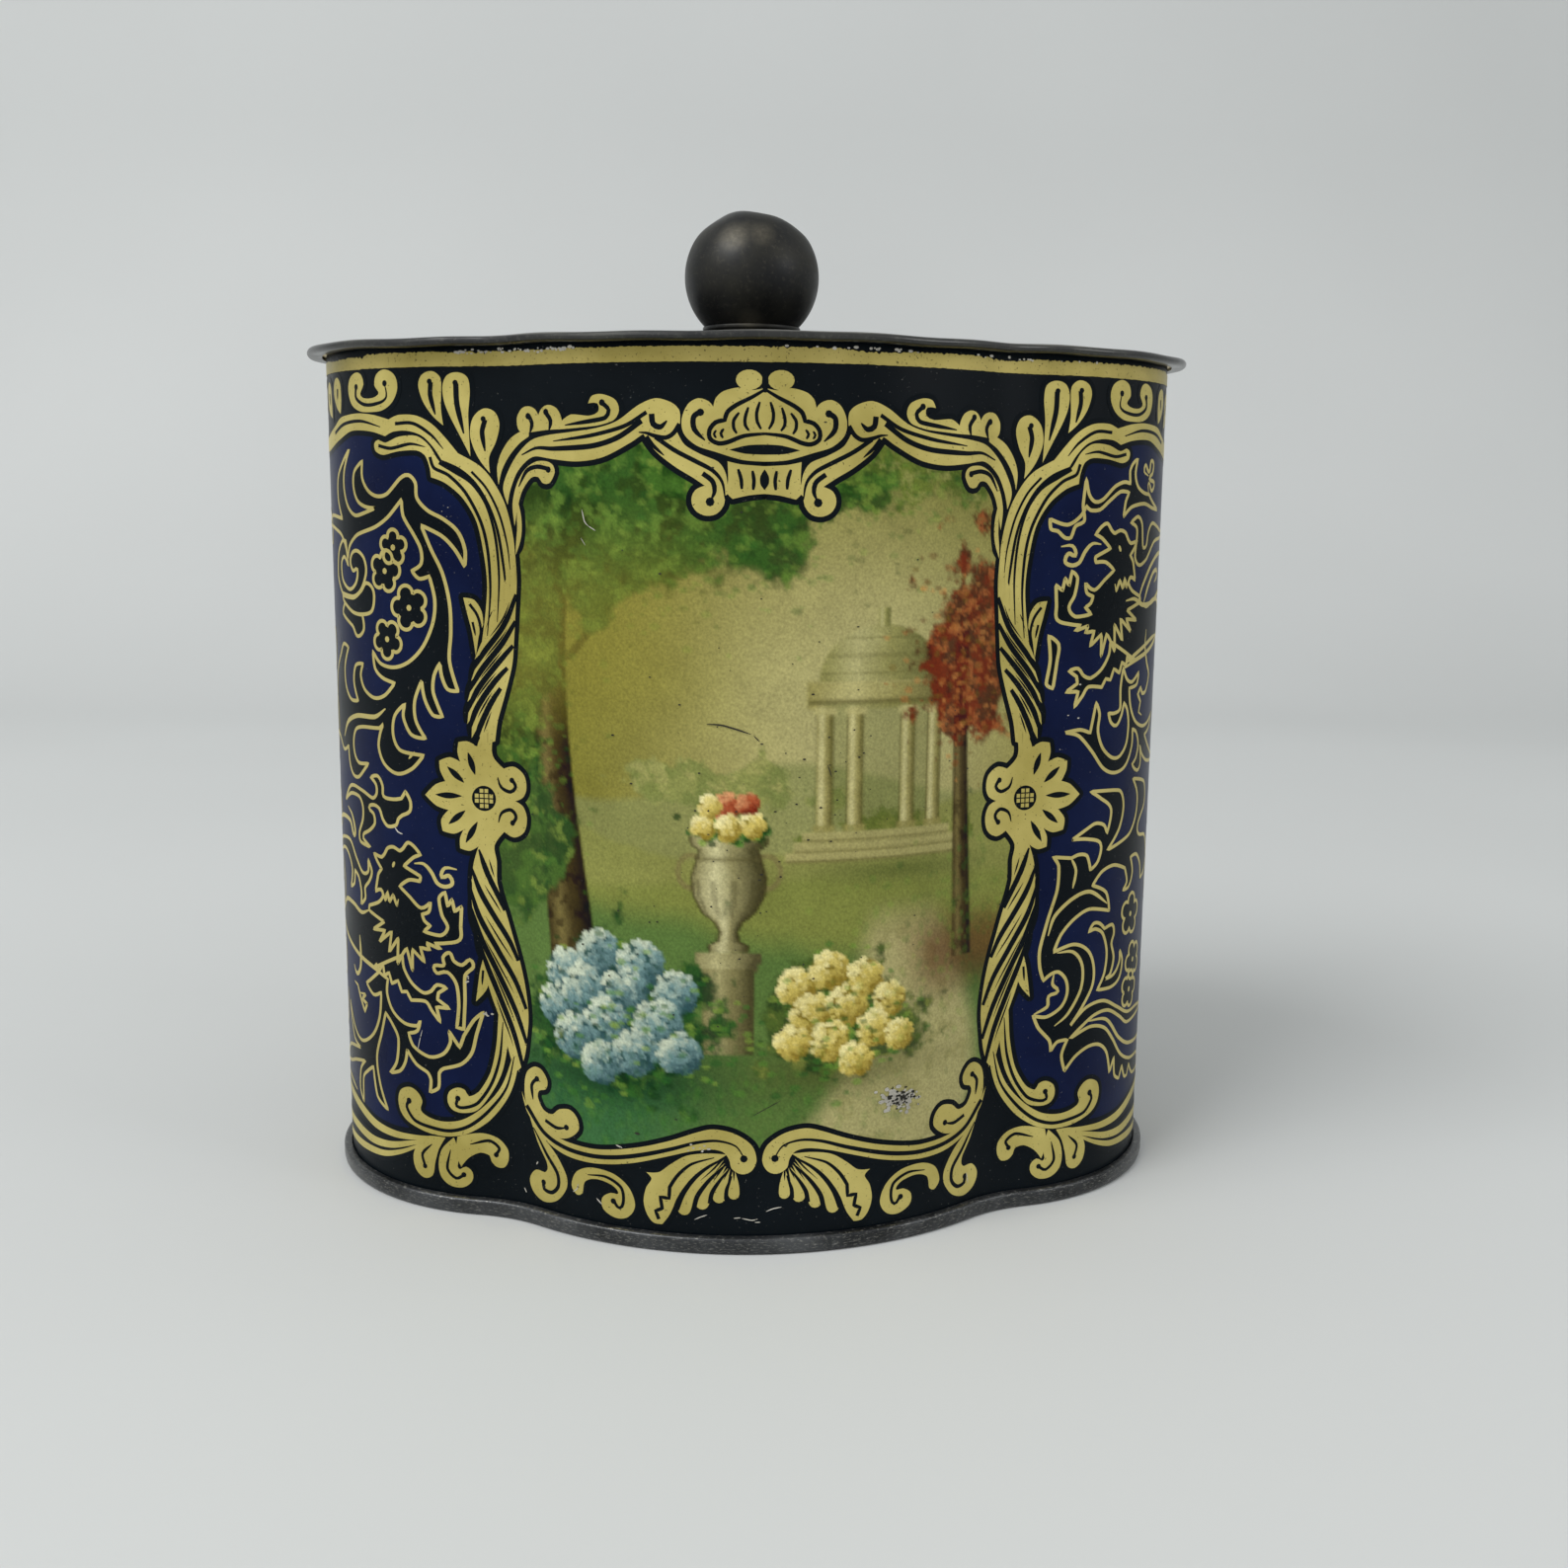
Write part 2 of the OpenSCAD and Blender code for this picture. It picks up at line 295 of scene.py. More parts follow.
# %% The outline's arcs
BODY_W = 130.0
BODY_D = 90.0
BOW_R = 51.0
END_R = 30.5
HOLLOW_R = 24.0
BOW_Y = BOW_R - BODY_D / 2
END_X = BODY_W / 2 - END_R
REACH = math.hypot(END_X, BOW_Y)
ALONG = ((BOW_R + HOLLOW_R) ** 2 - (END_R + HOLLOW_R) ** 2 + REACH**2) / (2 * REACH)
ACROSS = math.sqrt((BOW_R + HOLLOW_R) ** 2 - ALONG**2)
HOLLOW_X = (ALONG * END_X - ACROSS * BOW_Y) / REACH
HOLLOW_Y = -((ALONG * BOW_Y + ACROSS * END_X) / REACH - BOW_Y)
BOW_A = math.atan2(HOLLOW_X, BOW_Y - HOLLOW_Y)
END_A = math.atan2(HOLLOW_X - END_X, -HOLLOW_Y)
BOW_LEN = BOW_R * BOW_A
HOLLOW_LEN = HOLLOW_R * (BOW_A - END_A)
END_LEN = END_R * (math.pi / 2 - END_A)
QUARTER = BOW_LEN + HOLLOW_LEN + END_LEN
print("a quarter of the sheet is", round(QUARTER, 2), "mm long")

# %% The outline as a function


def wall_point(s, z, n=0.0):
    """Bends the flat sheet round the tin. The half of the sheet that s is on is found first,
    as the back half is the front half turned by 180 degrees. Within it, a = |s| runs along
    the bow, then the hollow, then the end. phi is the angle of the wall's normal from the
    front: a / bow radius on the bow, less by the hollow's turn on the hollow, and more again
    by the end's turn on the end. The point is the arc's centre plus or minus its radius
    along that normal, and n moves it outward."""
    s, z, n = np.broadcast_arrays(*[np.asarray(v, float) for v in (s, z, n)])
    half = np.round(s / (2 * QUARTER))
    s = s - half * 2 * QUARTER
    a = np.abs(s)
    on_bow = a <= BOW_LEN
    on_hollow = (a > BOW_LEN) & (a <= BOW_LEN + HOLLOW_LEN)
    phi = np.where(on_bow, a / BOW_R,
                   np.where(on_hollow, BOW_A - (a - BOW_LEN) / HOLLOW_R,
                            END_A + (a - BOW_LEN - HOLLOW_LEN) / END_R))
    radius = np.where(on_bow, BOW_R + n, np.where(on_hollow, n - HOLLOW_R, END_R + n))
    centre_x = np.where(on_bow, 0, np.where(on_hollow, HOLLOW_X, END_X))
    centre_y = np.where(on_bow, BOW_Y, np.where(on_hollow, HOLLOW_Y, 0))
    turned = np.where(half % 2 == 0, 1.0, -1.0)
    x = (centre_x + radius * np.sin(phi)) * np.where(s < 0, -1, 1) * turned
    y = (centre_y - radius * np.cos(phi)) * turned
    return np.stack([x, y, z], axis=-1)


meets = wall_point([0, BOW_LEN, BOW_LEN + HOLLOW_LEN, QUARTER], 0).round(2).tolist()
print("arcs meet at", meets)

# %% [markdown]
# ## Carrying a profile round
# Folding machines work on edges: the same little profile runs all the way round the sheet.
# So each metal piece is a profile, drawn as distance out from the wall and height, carried
# round stations about a millimetre apart. Folded sheet never has a knife edge, so corners of
# the profile are rounded first.

# %% Profiles and sweeps
STATIONS = np.linspace(-2 * QUARTER, 2 * QUARTER, 344, endpoint=False)


def rounded(profile, radii, steps=4):
    """Rounds the corners of a closed profile. Near each corner the path leaves the edge at
    the rounding distance, follows a quadratic curve whose middle control point is the corner,
    and joins the next edge at the same distance."""
    p = np.asarray(profile, float)
    radii = np.broadcast_to(np.asarray(radii, float), len(p))
    to_last = np.roll(p, 1, axis=0) - p
    to_next = np.roll(p, -1, axis=0) - p
    length_last = np.linalg.norm(to_last, axis=1)
    length_next = np.linalg.norm(to_next, axis=1)
    cut = np.minimum(radii, 0.45 * np.minimum(length_last, length_next))
    start = p + to_last * (cut / length_last)[:, None]
    end = p + to_next * (cut / length_next)[:, None]
    t = np.linspace(0, 1, steps)[None, :, None]
    curve = (1 - t) ** 2 * start[:, None] + 2 * t * (1 - t) * p[:, None] + t**2 * end[:, None]
    return curve.reshape(-1, 2)


def arc_points(centre, radius, start, end, count):
    """Points on an arc, from the start angle to the end angle in degrees."""
    angle = np.radians(np.linspace(start, end, count))
    return np.stack([centre[0] + radius * np.cos(angle), centre[1] + radius * np.sin(angle)], -1)


def carried_round(profile, waver=None):
    """The grid of points of a profile carried round the tin: row i is profile point i at every
    station. waver, if given, changes the heights to suit the place along the wall."""
    profile = np.asarray(profile, float)
    s = STATIONS[None, :]
    n = profile[:, :1]
    z = profile[:, 1:] + (0 if waver is None else waver(s, n))
    return wall_point(s + 0 * n, z + 0 * s, n + 0 * s)


def towards_middle(ring, radius, height, steps):
    """Rings that lead from a ring of points in to a circle of that radius about the tin's
    middle: each is a straight mix of the ring and the circle, at even steps."""
    flat = ring[:, :2]
    circle = flat / np.linalg.norm(flat, axis=1)[:, None] * radius
    t = np.linspace(0, 1, steps + 1)[1:, None, None]
    plan = (1 - t) * flat[None] + t * circle[None]
    level = (1 - t) * ring[None, :, 2:] + t * height
    return np.concatenate([plan, level + 0 * plan[..., :1]], axis=-1)


print("profiles are carried round", len(STATIONS), "stations")

# %% [markdown]
# ## Body wall
# The body is one printed sheet, bent to the outline. At the foot it is hooked outward so that
# the base can be folded round it, and at the mouth it is hemmed inward, which hides the raw
# edge and stiffens the opening. Its outside carries the ground colour of the print and its
# inside the gold lacquer, so faces are sorted by which profile edge they come from.

# %% Body wall mesh
SHEET = 0.3
BODY_H = 126.75
SEAM_GAP = 0.16
SEAM_H = 2.5
HEM_OUT = -SHEET - 0.1
HEM_IN = HEM_OUT - SHEET
HEM_LOW = BODY_H - 5
FOLD_Z = SHEET + SEAM_GAP
HOOK_IN = 2 * SEAM_GAP + SHEET
HOOK_OUT = HOOK_IN + SHEET
HOOK_TOP = SEAM_H - FOLD_Z
wall_profile = [(-SHEET, FOLD_Z), (-SHEET, BODY_H - SHEET), (HEM_OUT, BODY_H - SHEET),
                (HEM_OUT, HEM_LOW), (HEM_IN, HEM_LOW), (HEM_IN, BODY_H), (0, BODY_H),
                (0, FOLD_Z + SHEET), (HOOK_IN, FOLD_Z + SHEET), (HOOK_IN, HOOK_TOP),
                (HOOK_OUT, HOOK_TOP), (HOOK_OUT, FOLD_Z)]
wall_radii = [0.1, 0.04, 0.04, 0.1, 0.1, 0.28, 0.28, 0.1, 0.2, 0.1, 0.18, 0.4]
wall_rows = carried_round(rounded(wall_profile, wall_radii))
LOCK_IN = -4 * SHEET
LOCK_OUT = -0.2
LOCK_LOW = 5.3
LOCK_HIGH = 114.75
LOCK_W = 5
lock_s = np.linspace(-LOCK_W / 2, LOCK_W / 2, 13)[None, :] - QUARTER
lock_path = rounded([(LOCK_IN, LOCK_LOW), (LOCK_IN, LOCK_HIGH), (LOCK_OUT, LOCK_HIGH),
                     (LOCK_OUT, LOCK_LOW)], 0.1)
print("body wall has", wall_rows.shape[0], "rows of", wall_rows.shape[1], "stations")

# %% Body wall as an object


def strip_with_ends(path, s_line):
    """A closed bar: the path, given as distance out and height, swept along a stretch of wall,
    with a flat face over each end."""
    grid = wall_point(s_line + 0 * path[:, :1], path[:, 1:] + 0 * s_line, path[:, :1] + 0 * s_line)
    rows, cols = grid.shape[:2]
    faces = grid_faces(rows, cols, ring_rows=True).tolist()
    left = (np.arange(rows) * cols).tolist()
    right = (np.arange(rows)[::-1] * cols + cols - 1).tolist()
    return grid.reshape(-1, 3), [*faces, left[::-1], right[::-1]]


def body_wall_piece(ground):
    """The bent sheet and its lock seam in one piece. Faces whose profile points all lie on the
    outside, at n = 0 between the foot and the mouth, take the printed ground."""
    rows, cols = wall_rows.shape[:2]
    faces = grid_faces(rows, cols, ring_rows=True, ring_cols=True)
    bar, bar_faces = strip_with_ends(lock_path, lock_s)
    points = np.concatenate([wall_rows.reshape(-1, 3), bar])
    shifted = [[i + rows * cols for i in face] for face in bar_faces]
    piece = make_object("body_wall_sheet", points, [*faces.tolist(), *shifted])
    out = rounded(wall_profile, wall_radii)[:, 0] > -0.2
    printed = out & np.roll(out, -1)
    slots = np.zeros(len(faces) + len(shifted), int)
    slots[: len(faces)] = np.repeat(printed, cols)
    piece.data.materials.append(inside_lacquer)
    piece.data.materials.append(ground)
    piece.data.polygons.foreach_set("material_index", slots)
    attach(piece, "box")
    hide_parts("body_wall")
    return piece


print("lock seam:", LOCK_W, "mm wide and", round(LOCK_HIGH - LOCK_LOW, 2), "mm tall")

# %% [markdown]
# ## Base pan
# The base is a shallow pan whose edge is folded twice round the body's hook. Only its outer
# rim shows, as the dark band the tin stands on. The pan's panel is closed towards the middle
# by rings that shrink to a point above and below.

# %% Closing a panel


def closed_panel(name, profile, radii, inner_radius, steps=10, waver=None):
    """A sheet piece with a flat panel. The profile runs from the panel's top, round the edge
    and back underneath; rings lead from both of its ends in to a circle. With a circle of no
    size the rings end in a single point, and otherwise the two circles are the same hole."""
    rows = carried_round(rounded(profile, radii), waver)
    top = towards_middle(rows[0], max(inner_radius, 1), profile[0][1], steps)[::-1]
    under = towards_middle(rows[-1], max(inner_radius, 1), profile[-1][1], steps)
    grid = np.concatenate([top, rows, under])
    count, cols = grid.shape[:2]
    hole = inner_radius > 0
    faces = grid_faces(count, cols, ring_rows=hole, ring_cols=True).tolist()
    points = grid.reshape(-1, 3)
    if not hole:
        faces += pole_faces(count, cols)
        points = np.concatenate([points, [[0, 0, profile[0][1]], [0, 0, profile[-1][1]]]])
    return make_object(name, points, faces)


print("two fans close a panel with", len(pole_faces(3, len(STATIONS))), "faces")

# %% Base pan
BASE_RISE = 3
BASE_TOP = BASE_RISE + SHEET
PAN_OUT = -SHEET - SEAM_GAP
PAN_IN = PAN_OUT - SHEET
SEAM_IN = HOOK_OUT + SEAM_GAP
SEAM_OUT = SEAM_IN + SHEET
TUCK_IN = SEAM_GAP
TUCK_OUT = TUCK_IN + SHEET
TUCK_LOW = FOLD_Z + SHEET + SEAM_GAP
pan_profile = [(-4, BASE_TOP), (PAN_OUT, BASE_TOP), (PAN_OUT, SHEET), (SEAM_IN, SHEET),
               (SEAM_IN, SEAM_H - SHEET), (TUCK_OUT, SEAM_H - SHEET), (TUCK_OUT, TUCK_LOW),
               (TUCK_IN, TUCK_LOW), (TUCK_IN, SEAM_H), (SEAM_OUT, SEAM_H), (SEAM_OUT, 0),
               (PAN_IN, 0), (PAN_IN, BASE_RISE), (-4, BASE_RISE)]
pan_radii = [0, 0.3, 0.1, 0.5, 0.5, 0.1, 0.1, 0.1, 0.05, 0.8, 0.8, 0.3, 0.1, 0]
base_pan = closed_panel("base_pan_folded", pan_profile, pan_radii, 0)
base_pan.data.materials.append(foot_tin)
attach(base_pan, "box")
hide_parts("base_pan")
print("base pan:", len(base_pan.data.polygons), "faces")

# %% [markdown]
# ## Lid
# The lid is a flat cover with a slightly raised panel, and its edge is rolled over into a
# bead and folded back under. The collar that slips into the mouth hangs from that fold. Hand
# work at the rolling wheel leaves the edge a little uneven, which a slow wave of a tenth of a
# millimetre gives.

# %% Profile of the lid's edge
RIM_LOW = 126.35
RIM_TOP = 127.55
PANEL_TOP = 128.45
FOLD_END = 0.6
BEAD_HALF = np.array([0.8, (RIM_TOP - RIM_LOW) / 2])
bead = np.array([2.0, (RIM_TOP + RIM_LOW) / 2])
bead_turn = arc_points((0, 0), 1, 90, -90, 11)
edge_profile = np.concatenate([
    [(-16, PANEL_TOP), (-9, PANEL_TOP), (-6, RIM_TOP)],
    bead + bead_turn * BEAD_HALF,
    [(FOLD_END, RIM_LOW), (FOLD_END, RIM_LOW + SHEET)],
    bead + bead_turn[::-1] * (BEAD_HALF - SHEET),
    [(-6, RIM_TOP - SHEET), (-9, PANEL_TOP - SHEET), (-16, PANEL_TOP - SHEET)],
])
edge_radii = [0, 1.4, 1.4, *[0] * 11, 0.1, 0.1, *[0] * 11, 1.4, 1.4, 0]
print("lid edge:", len(edge_profile), "points")

# %% Lid cover and collar


def hand_rolled(s, n):
    """Slow unevenness of the lid's edge: two sine waves along the wall, at its outer edge only."""
    turn = 2 * math.pi * s / (4 * QUARTER)
    wave = 0.09 * np.sin(9 * turn + 0.6) + 0.06 * np.sin(23 * turn + 2)
    return wave * np.clip((n + 6) / 6, 0, 1)


lid_cover = closed_panel("lid_cover_rolled", edge_profile, edge_radii, 2.3, waver=hand_rolled)
lid_cover.data.materials.append(lid_tin)
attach(lid_cover, "lid")
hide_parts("lid_cover")

FLANGE_OUT = 2.15
COLLAR_OUT = HEM_IN - 0.3
COLLAR_IN = COLLAR_OUT - SHEET
COLLAR_LOW = BODY_H - 10
collar_profile = [(COLLAR_IN, BODY_H + SHEET), (FLANGE_OUT, BODY_H + SHEET),
                  (FLANGE_OUT, BODY_H), (COLLAR_OUT, BODY_H), (COLLAR_OUT, COLLAR_LOW),
                  (COLLAR_IN, COLLAR_LOW)]
collar_rows = carried_round(rounded(collar_profile, [0.3, 0.05, 0.05, 0.05, 0.1, 0.1]))
collar = make_object("lid_collar", collar_rows.reshape(-1, 3),
                     grid_faces(*collar_rows.shape[:2], True, True).tolist())
collar.data.materials.append(inside_lacquer)
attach(collar, "lid")
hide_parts("lid_plug_ring")
print("lid cover:", len(lid_cover.data.polygons), "faces, collar:", len(collar.data.polygons))

# %% [markdown]
# ## Knob
# The knob is a ball pressed from thin tinplate on a short neck with a rolled lip. It is a
# surface of revolution, and its top has been knocked flat, which dents inner and outer skins
# alike. A turned profile makes both skins; the dent then pulls every point near the top back
# towards the ball's centre.

# %% Turned pieces
NECK_TOP = PANEL_TOP + 3.9
NECK_R = 7.25
NECK_IN = NECK_R - 0.5
BALL_R = 10.4
BALL_Z = round(NECK_TOP + math.sqrt(BALL_R**2 - NECK_R**2), 3)


def turned(name, profile, hole=False, turns=96, reshape=None):
    """A turned piece: profile point i, given as radius and height, goes round the knob's axis
    in equal steps. A profile whose ends lie on the axis closes in two points, and one with a
    hole closes on itself."""
    profile = np.asarray(profile, float)
    body = profile if hole else profile[1:-1]
    turn = np.linspace(0, 2 * math.pi, turns, endpoint=False)[None, :]
    x = body[:, :1] * np.sin(turn)
    y = -body[:, :1] * np.cos(turn)
    grid = np.stack([x, y, body[:, 1:] + 0 * turn], axis=-1)
    faces = grid_faces(len(body), turns, ring_rows=hole, ring_cols=True).tolist()
    points = grid.reshape(-1, 3)
    if not hole:
        faces += pole_faces(len(body), turns)
        points = np.concatenate([points, [[0, 0, profile[0][1]], [0, 0, profile[-1][1]]]])
    if reshape is not None:
        points = reshape(points)
    return make_object(name, points, faces)


def knocked_top(points):
    """Four shallow dents. For each dent, w falls from 1 at its axis to 0 at its edge as a smooth
    step of the angle between, and the point moves towards the ball's centre by depth times w."""
    centre = np.array([0, 0, BALL_Z])
    way = points - centre
    length = np.linalg.norm(way, axis=1)[:, None]
    way = way / np.maximum(length, 1e-9)
    dents = [((0.16, -0.1, 1), 34, 0.8), ((-0.62, -0.2, 1), 26, 0.35), ((0.75, -0.2, 1), 22, 0.35),
             ((-0.1, 0.5, 1), 22, 0.3)]
    for axis, width, depth in dents:
        axis = np.array(axis) / np.linalg.norm(axis)
        angle = np.degrees(np.arccos(np.clip(way @ axis, -1, 1)))
        w = np.clip(1 - angle / width, 0, 1)
        points = points - way * (depth * w * w * (3 - 2 * w))[:, None]
    return points


print("the ball's centre is", BALL_Z, "mm up")

# %% Knob ball and neck
SPIGOT_R = 6.65
SPIGOT_LOW = NECK_TOP - 2.2
HOLE_R = 2.3
FLOOR_TOP = PANEL_TOP + 0.6
LIP_R = NECK_R + 0.35
LIP_LOW = NECK_TOP - 0.6
skin = arc_points((0, BALL_Z), BALL_R, 90, -45.8, 46)
inner_skin = arc_points((0, BALL_Z), BALL_R - 0.5, -51.6, 90, 40)
ball_profile = [*skin, (SPIGOT_R, NECK_TOP), (SPIGOT_R, SPIGOT_LOW),
                (SPIGOT_R - 0.5, SPIGOT_LOW), *inner_skin]
knob_ball = turned("knob_ball_pressed", ball_profile, reshape=knocked_top)
neck_profile = [(HOLE_R, FLOOR_TOP), (NECK_IN, FLOOR_TOP), (NECK_IN, NECK_TOP),
                (LIP_R, NECK_TOP), (LIP_R, LIP_LOW), (NECK_R, LIP_LOW - 0.15),
                (NECK_R, PANEL_TOP), (HOLE_R, PANEL_TOP)]
neck_path = rounded(neck_profile, [0, 0.1, 0.1, 0.25, 0.25, 0.1, 0.05, 0])
knob_neck = turned("knob_neck", neck_path, hole=True)
for piece, node in ((knob_ball, "knob_ball"), (knob_neck, "knob_collar")):
    piece.data.materials.append(knob_tin)
    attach(piece, "lid")
    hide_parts(node)
print("knob ball:", len(knob_ball.data.polygons), "faces, neck:", len(knob_neck.data.polygons))

# %% [markdown]
# ## Fasteners
# The nut, washer and screw are exactly what the construction model drew, so they stay and only
# take the plated steel.

# %% Fasteners
for node in ("knob_insert_nut", "screw_washer", "knob_screw"):
    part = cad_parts[node]
    part.data.materials.clear()
    part.data.materials.append(zinc_steel)
print("fasteners take", zinc_steel.name)

# %% [markdown]
# ## Printing inks
# The sheet is lithographed: opaque and transparent inks are rolled on flat tinplate and baked
# under a clear varnish. The dark ground is opaque blue-black. The gold isn't metal powder but
# a transparent yellow lacquer that lets the tin shine through, so it is a metal with a yellow
# colour. All share the varnish, a smooth clear coat.

# %% Printing ink finishes


def printed_ink(name, colour, metal, rough, wear=0.0, chip="#8f8d86", gloss=0.2):
    """Baked printing ink under varnish. A mottle of 15 mm between two near tones stands for
    uneven inking. A grain of 0.35 mm pits it: wear is how much of the grain shows as chips of
    their own colour."""
    finish, tree, shader, place = new_finish(name)
    mottle = add_node(tree, "ShaderNodeTexNoise",
                      {"Vector": place, "Scale": 1 / (15 * MM), "Detail": 4, "Roughness": 0.6})
    tone = stops(add_node(tree, "ShaderNodeValToRGB", {"Fac": mottle.outputs["Fac"]}),
                 (0.35, colour[0]), (0.65, colour[1]))
    grain = add_node(tree, "ShaderNodeTexNoise",
                     {"Vector": place, "Scale": 1 / (0.35 * MM), "Detail": 2})
    chips = add_node(tree, "ShaderNodeMapRange",
                     {"Value": grain.outputs["Fac"], "From Min": 0.72 - 0.1 * wear,
                      "From Max": 0.78 - 0.1 * wear, "To Max": min(1.0, 3 * wear)})
    chipped = add_node(tree, "ShaderNodeMix",
                       {"Factor": chips.outputs["Result"], "A": tone.outputs["Color"],
                        "B": ink(chip)}, data_type="RGBA")
    polish = add_node(tree, "ShaderNodeMapRange",
                      {"Value": mottle.outputs["Fac"], "From Min": 0.3, "From Max": 0.7,
                       "To Min": rough - 0.05, "To Max": rough + 0.07})
    set_inputs(tree, shader, {
        "Base Color": chipped.outputs["Result"], "Roughness": polish.outputs["Result"],
        "Metallic": metal, "Specular IOR Level": gloss, "Coat Weight": 0.03,
        "Coat Roughness": 0.12})
    return finish


ground_ink = printed_ink("litho_ink_blue_black", ("#060c10", "#0a1116"), 0.0, 0.3, 0.1, gloss=0.06)
gold_ink = printed_ink("litho_lacquer_gold", ("#b5a65a", "#d3c475"), 0.7, 0.36, 0.5, "#6a6137")
blue_ink = printed_ink("litho_lacquer_blue", ("#081130", "#0d193d"), 0.1, 0.3, 0.1, gloss=0.06)
band_ink = printed_ink("litho_lacquer_band", ("#a2944e", "#c0b068"), 0.7, 0.36, 0.75, "#6b6238")
line_ink = printed_ink("litho_lacquer_line_gold", ("#bcad68", "#cfc07a"), 0.6, 0.38, 0.25, "#6a6137")
worn_tin = printed_ink("tinplate_worn_bright", ("#a29e93", "#d8d4c9"), 0.3, 0.4, 0.9, "#2e2c28")
scratch_dark = printed_ink("varnish_scratch_dark", ("#23221c", "#33312a"), 0.0, 0.5)
body_wall = body_wall_piece(ground_ink)
print("body wall:", len(body_wall.data.polygons), "faces")

# %% Picture finish
# The colours come from the paint on the mesh, and the grain of the dot screen, a third of a
# millimetre, is worked in under a soft varnish.
picture_ink, tree, shader, place = new_finish("litho_ink_picture")
paint = add_node(tree, "ShaderNodeAttribute", attribute_name="paint")
screen = add_node(tree, "ShaderNodeTexNoise",
                  {"Vector": place, "Scale": 1 / (0.35 * MM), "Detail": 3})
depth = add_node(tree, "ShaderNodeMapRange",
                 {"Value": screen.outputs["Fac"], "From Min": 0.3, "From Max": 0.7,
                  "To Min": 0.82, "To Max": 1.16})
tone = add_node(tree, "ShaderNodeVectorMath",
                {0: paint.outputs["Color"], "Scale": depth.outputs["Result"]}, operation="SCALE")
set_inputs(tree, shader, {"Base Color": tone.outputs["Vector"], "Roughness": 0.42,
                          "Specular IOR Level": 0.12})
print("picture finish made")

# %% [markdown]
# ## Drawing on the flat sheet
# An engraver draws with two things: outlines that are filled, and strokes that swell and taper. Here each
# is a short list of marks in s and z. A smooth curve is passed through the marks, and a mark with an
# exclamation sign is a sharp corner. In the blocks of text a semicolon ends a shape, and a stroke's width
# comes before its marks. Fills are cut into upright slices a millimetre wide, because the wall is bent
# only along s, so each slice stays flat when the sheet is bent.

# %% Curves from marks


def marks(text):
    """Points from text such as "3,4 5,6!". A mark with an exclamation sign is put in twice,
    which the curve below reads as a corner."""
    points = []
    for word in text.split():
        s, z = word.rstrip("!").split(",")
        points += [(float(s), float(z))] * (2 if word.endswith("!") else 1)
    return np.array(points)


def outlines(block):
    """The marks of each outline in a block of text. A semicolon ends an outline."""
    return [part.strip() for part in block.split(";")]


def strokes(block):
    """The marks and width of each stroke, or of each round drop, in a block of text. The
    width comes before the marks."""
    return [(text, float(width)) for width, text in
            (part.split(maxsplit=1) for part in outlines(block))]


def flow(points, closed=False, step=0.45):
    """A smooth curve through marks. Each mark's tangent points from its neighbour behind to
    its neighbour ahead and is as long as the shorter of its two spans, so a doubled mark has
    none and makes a corner. Between marks the curve is the Hermite blend
    p0 (2t^3 - 3t^2 + 1) + m0 (t^3 - 2t^2 + t) + p1 (3t^2 - 2t^3) + m1 (t^3 - t^2).
    It is then walked at even steps, keeping every mark."""
    p = marks(points) if isinstance(points, str) else np.asarray(points, float)
    last = np.roll(p, 1, axis=0)
    ahead = np.roll(p, -1, axis=0)
    if not closed:
        last[0], ahead[-1] = p[0], p[-1]
    chord = ahead - last
    size = np.linalg.norm(chord, axis=1)
    short = np.minimum(np.linalg.norm(p - last, axis=1), np.linalg.norm(ahead - p, axis=1))
    tangent = chord * (short / np.maximum(size, 1e-9))[:, None]
    if not closed:
        tangent[0], tangent[-1] = (p[1] - p[0]) * 0.8, (p[-1] - p[-2]) * 0.8
        p1, m1 = p[1:], tangent[1:]
        p0, m0 = p[:-1], tangent[:-1]
    else:
        p0, m0, p1, m1 = p, tangent, ahead, np.roll(tangent, -1, axis=0)
    t = np.linspace(0, 1, 9)[None, :-1, None]
    fine = (p0[:, None] * (2 * t**3 - 3 * t**2 + 1) + m0[:, None] * (t**3 - 2 * t**2 + t)
            + p1[:, None] * (3 * t**2 - 2 * t**3) + m1[:, None] * (t**3 - t**2))
    path = np.concatenate([fine.reshape(-1, 2), p1[-1:]])
    run = np.concatenate([[0], np.cumsum(np.linalg.norm(np.diff(path, axis=0), axis=1))])
    held = run[:: 8]
    even = np.linspace(0, run[-1], max(4, int(run[-1] / step)) + 1)
    even = even[np.min(np.abs(even[:, None] - held[None]), axis=1) > 0.3 * step]
    where = np.unique(np.round(np.concatenate([held, even]), 6))
    path = np.stack([np.interp(where, run, path[:, i]) for i in (0, 1)], axis=1)
    return path[:-1] if closed else path


print("a curve through three marks has", len(flow("0,0 1,2 3,2")), "points")

# %% Fills, strokes and dots


def fill(path):
    """A filled outline, meshed with upright cuts at every whole millimetre of s. Triangles
    that lie in the outline keep a link to it, and the others are left out."""
    after = np.roll(path, -1, axis=0)
    if np.sum(path[:, 0] * after[:, 1] - after[:, 0] * path[:, 1]) < 0:
        path = path[::-1]
    low, high = path.min(axis=0), path.max(axis=0)
    cuts = np.arange(math.ceil(low[0] + 0.01), math.ceil(high[0] - 0.01), 1.0)
    ends = np.stack([np.repeat(cuts, 2), np.tile([low[1] - 1, high[1] + 1], len(cuts))], axis=1)
    n = len(path)
    edges = (n + np.arange(2 * len(cuts))).reshape(-1, 2).tolist()
    flat = [Vector(v) for v in np.concatenate([path, ends]).tolist()]
    points, _, faces, _, _, source = delaunay_2d_cdt(flat, edges, [list(range(n))], 0, 1e-5)
    kept = [face for face, origin in zip(faces, source) if origin]
    return np.array([tuple(v) for v in points]), kept


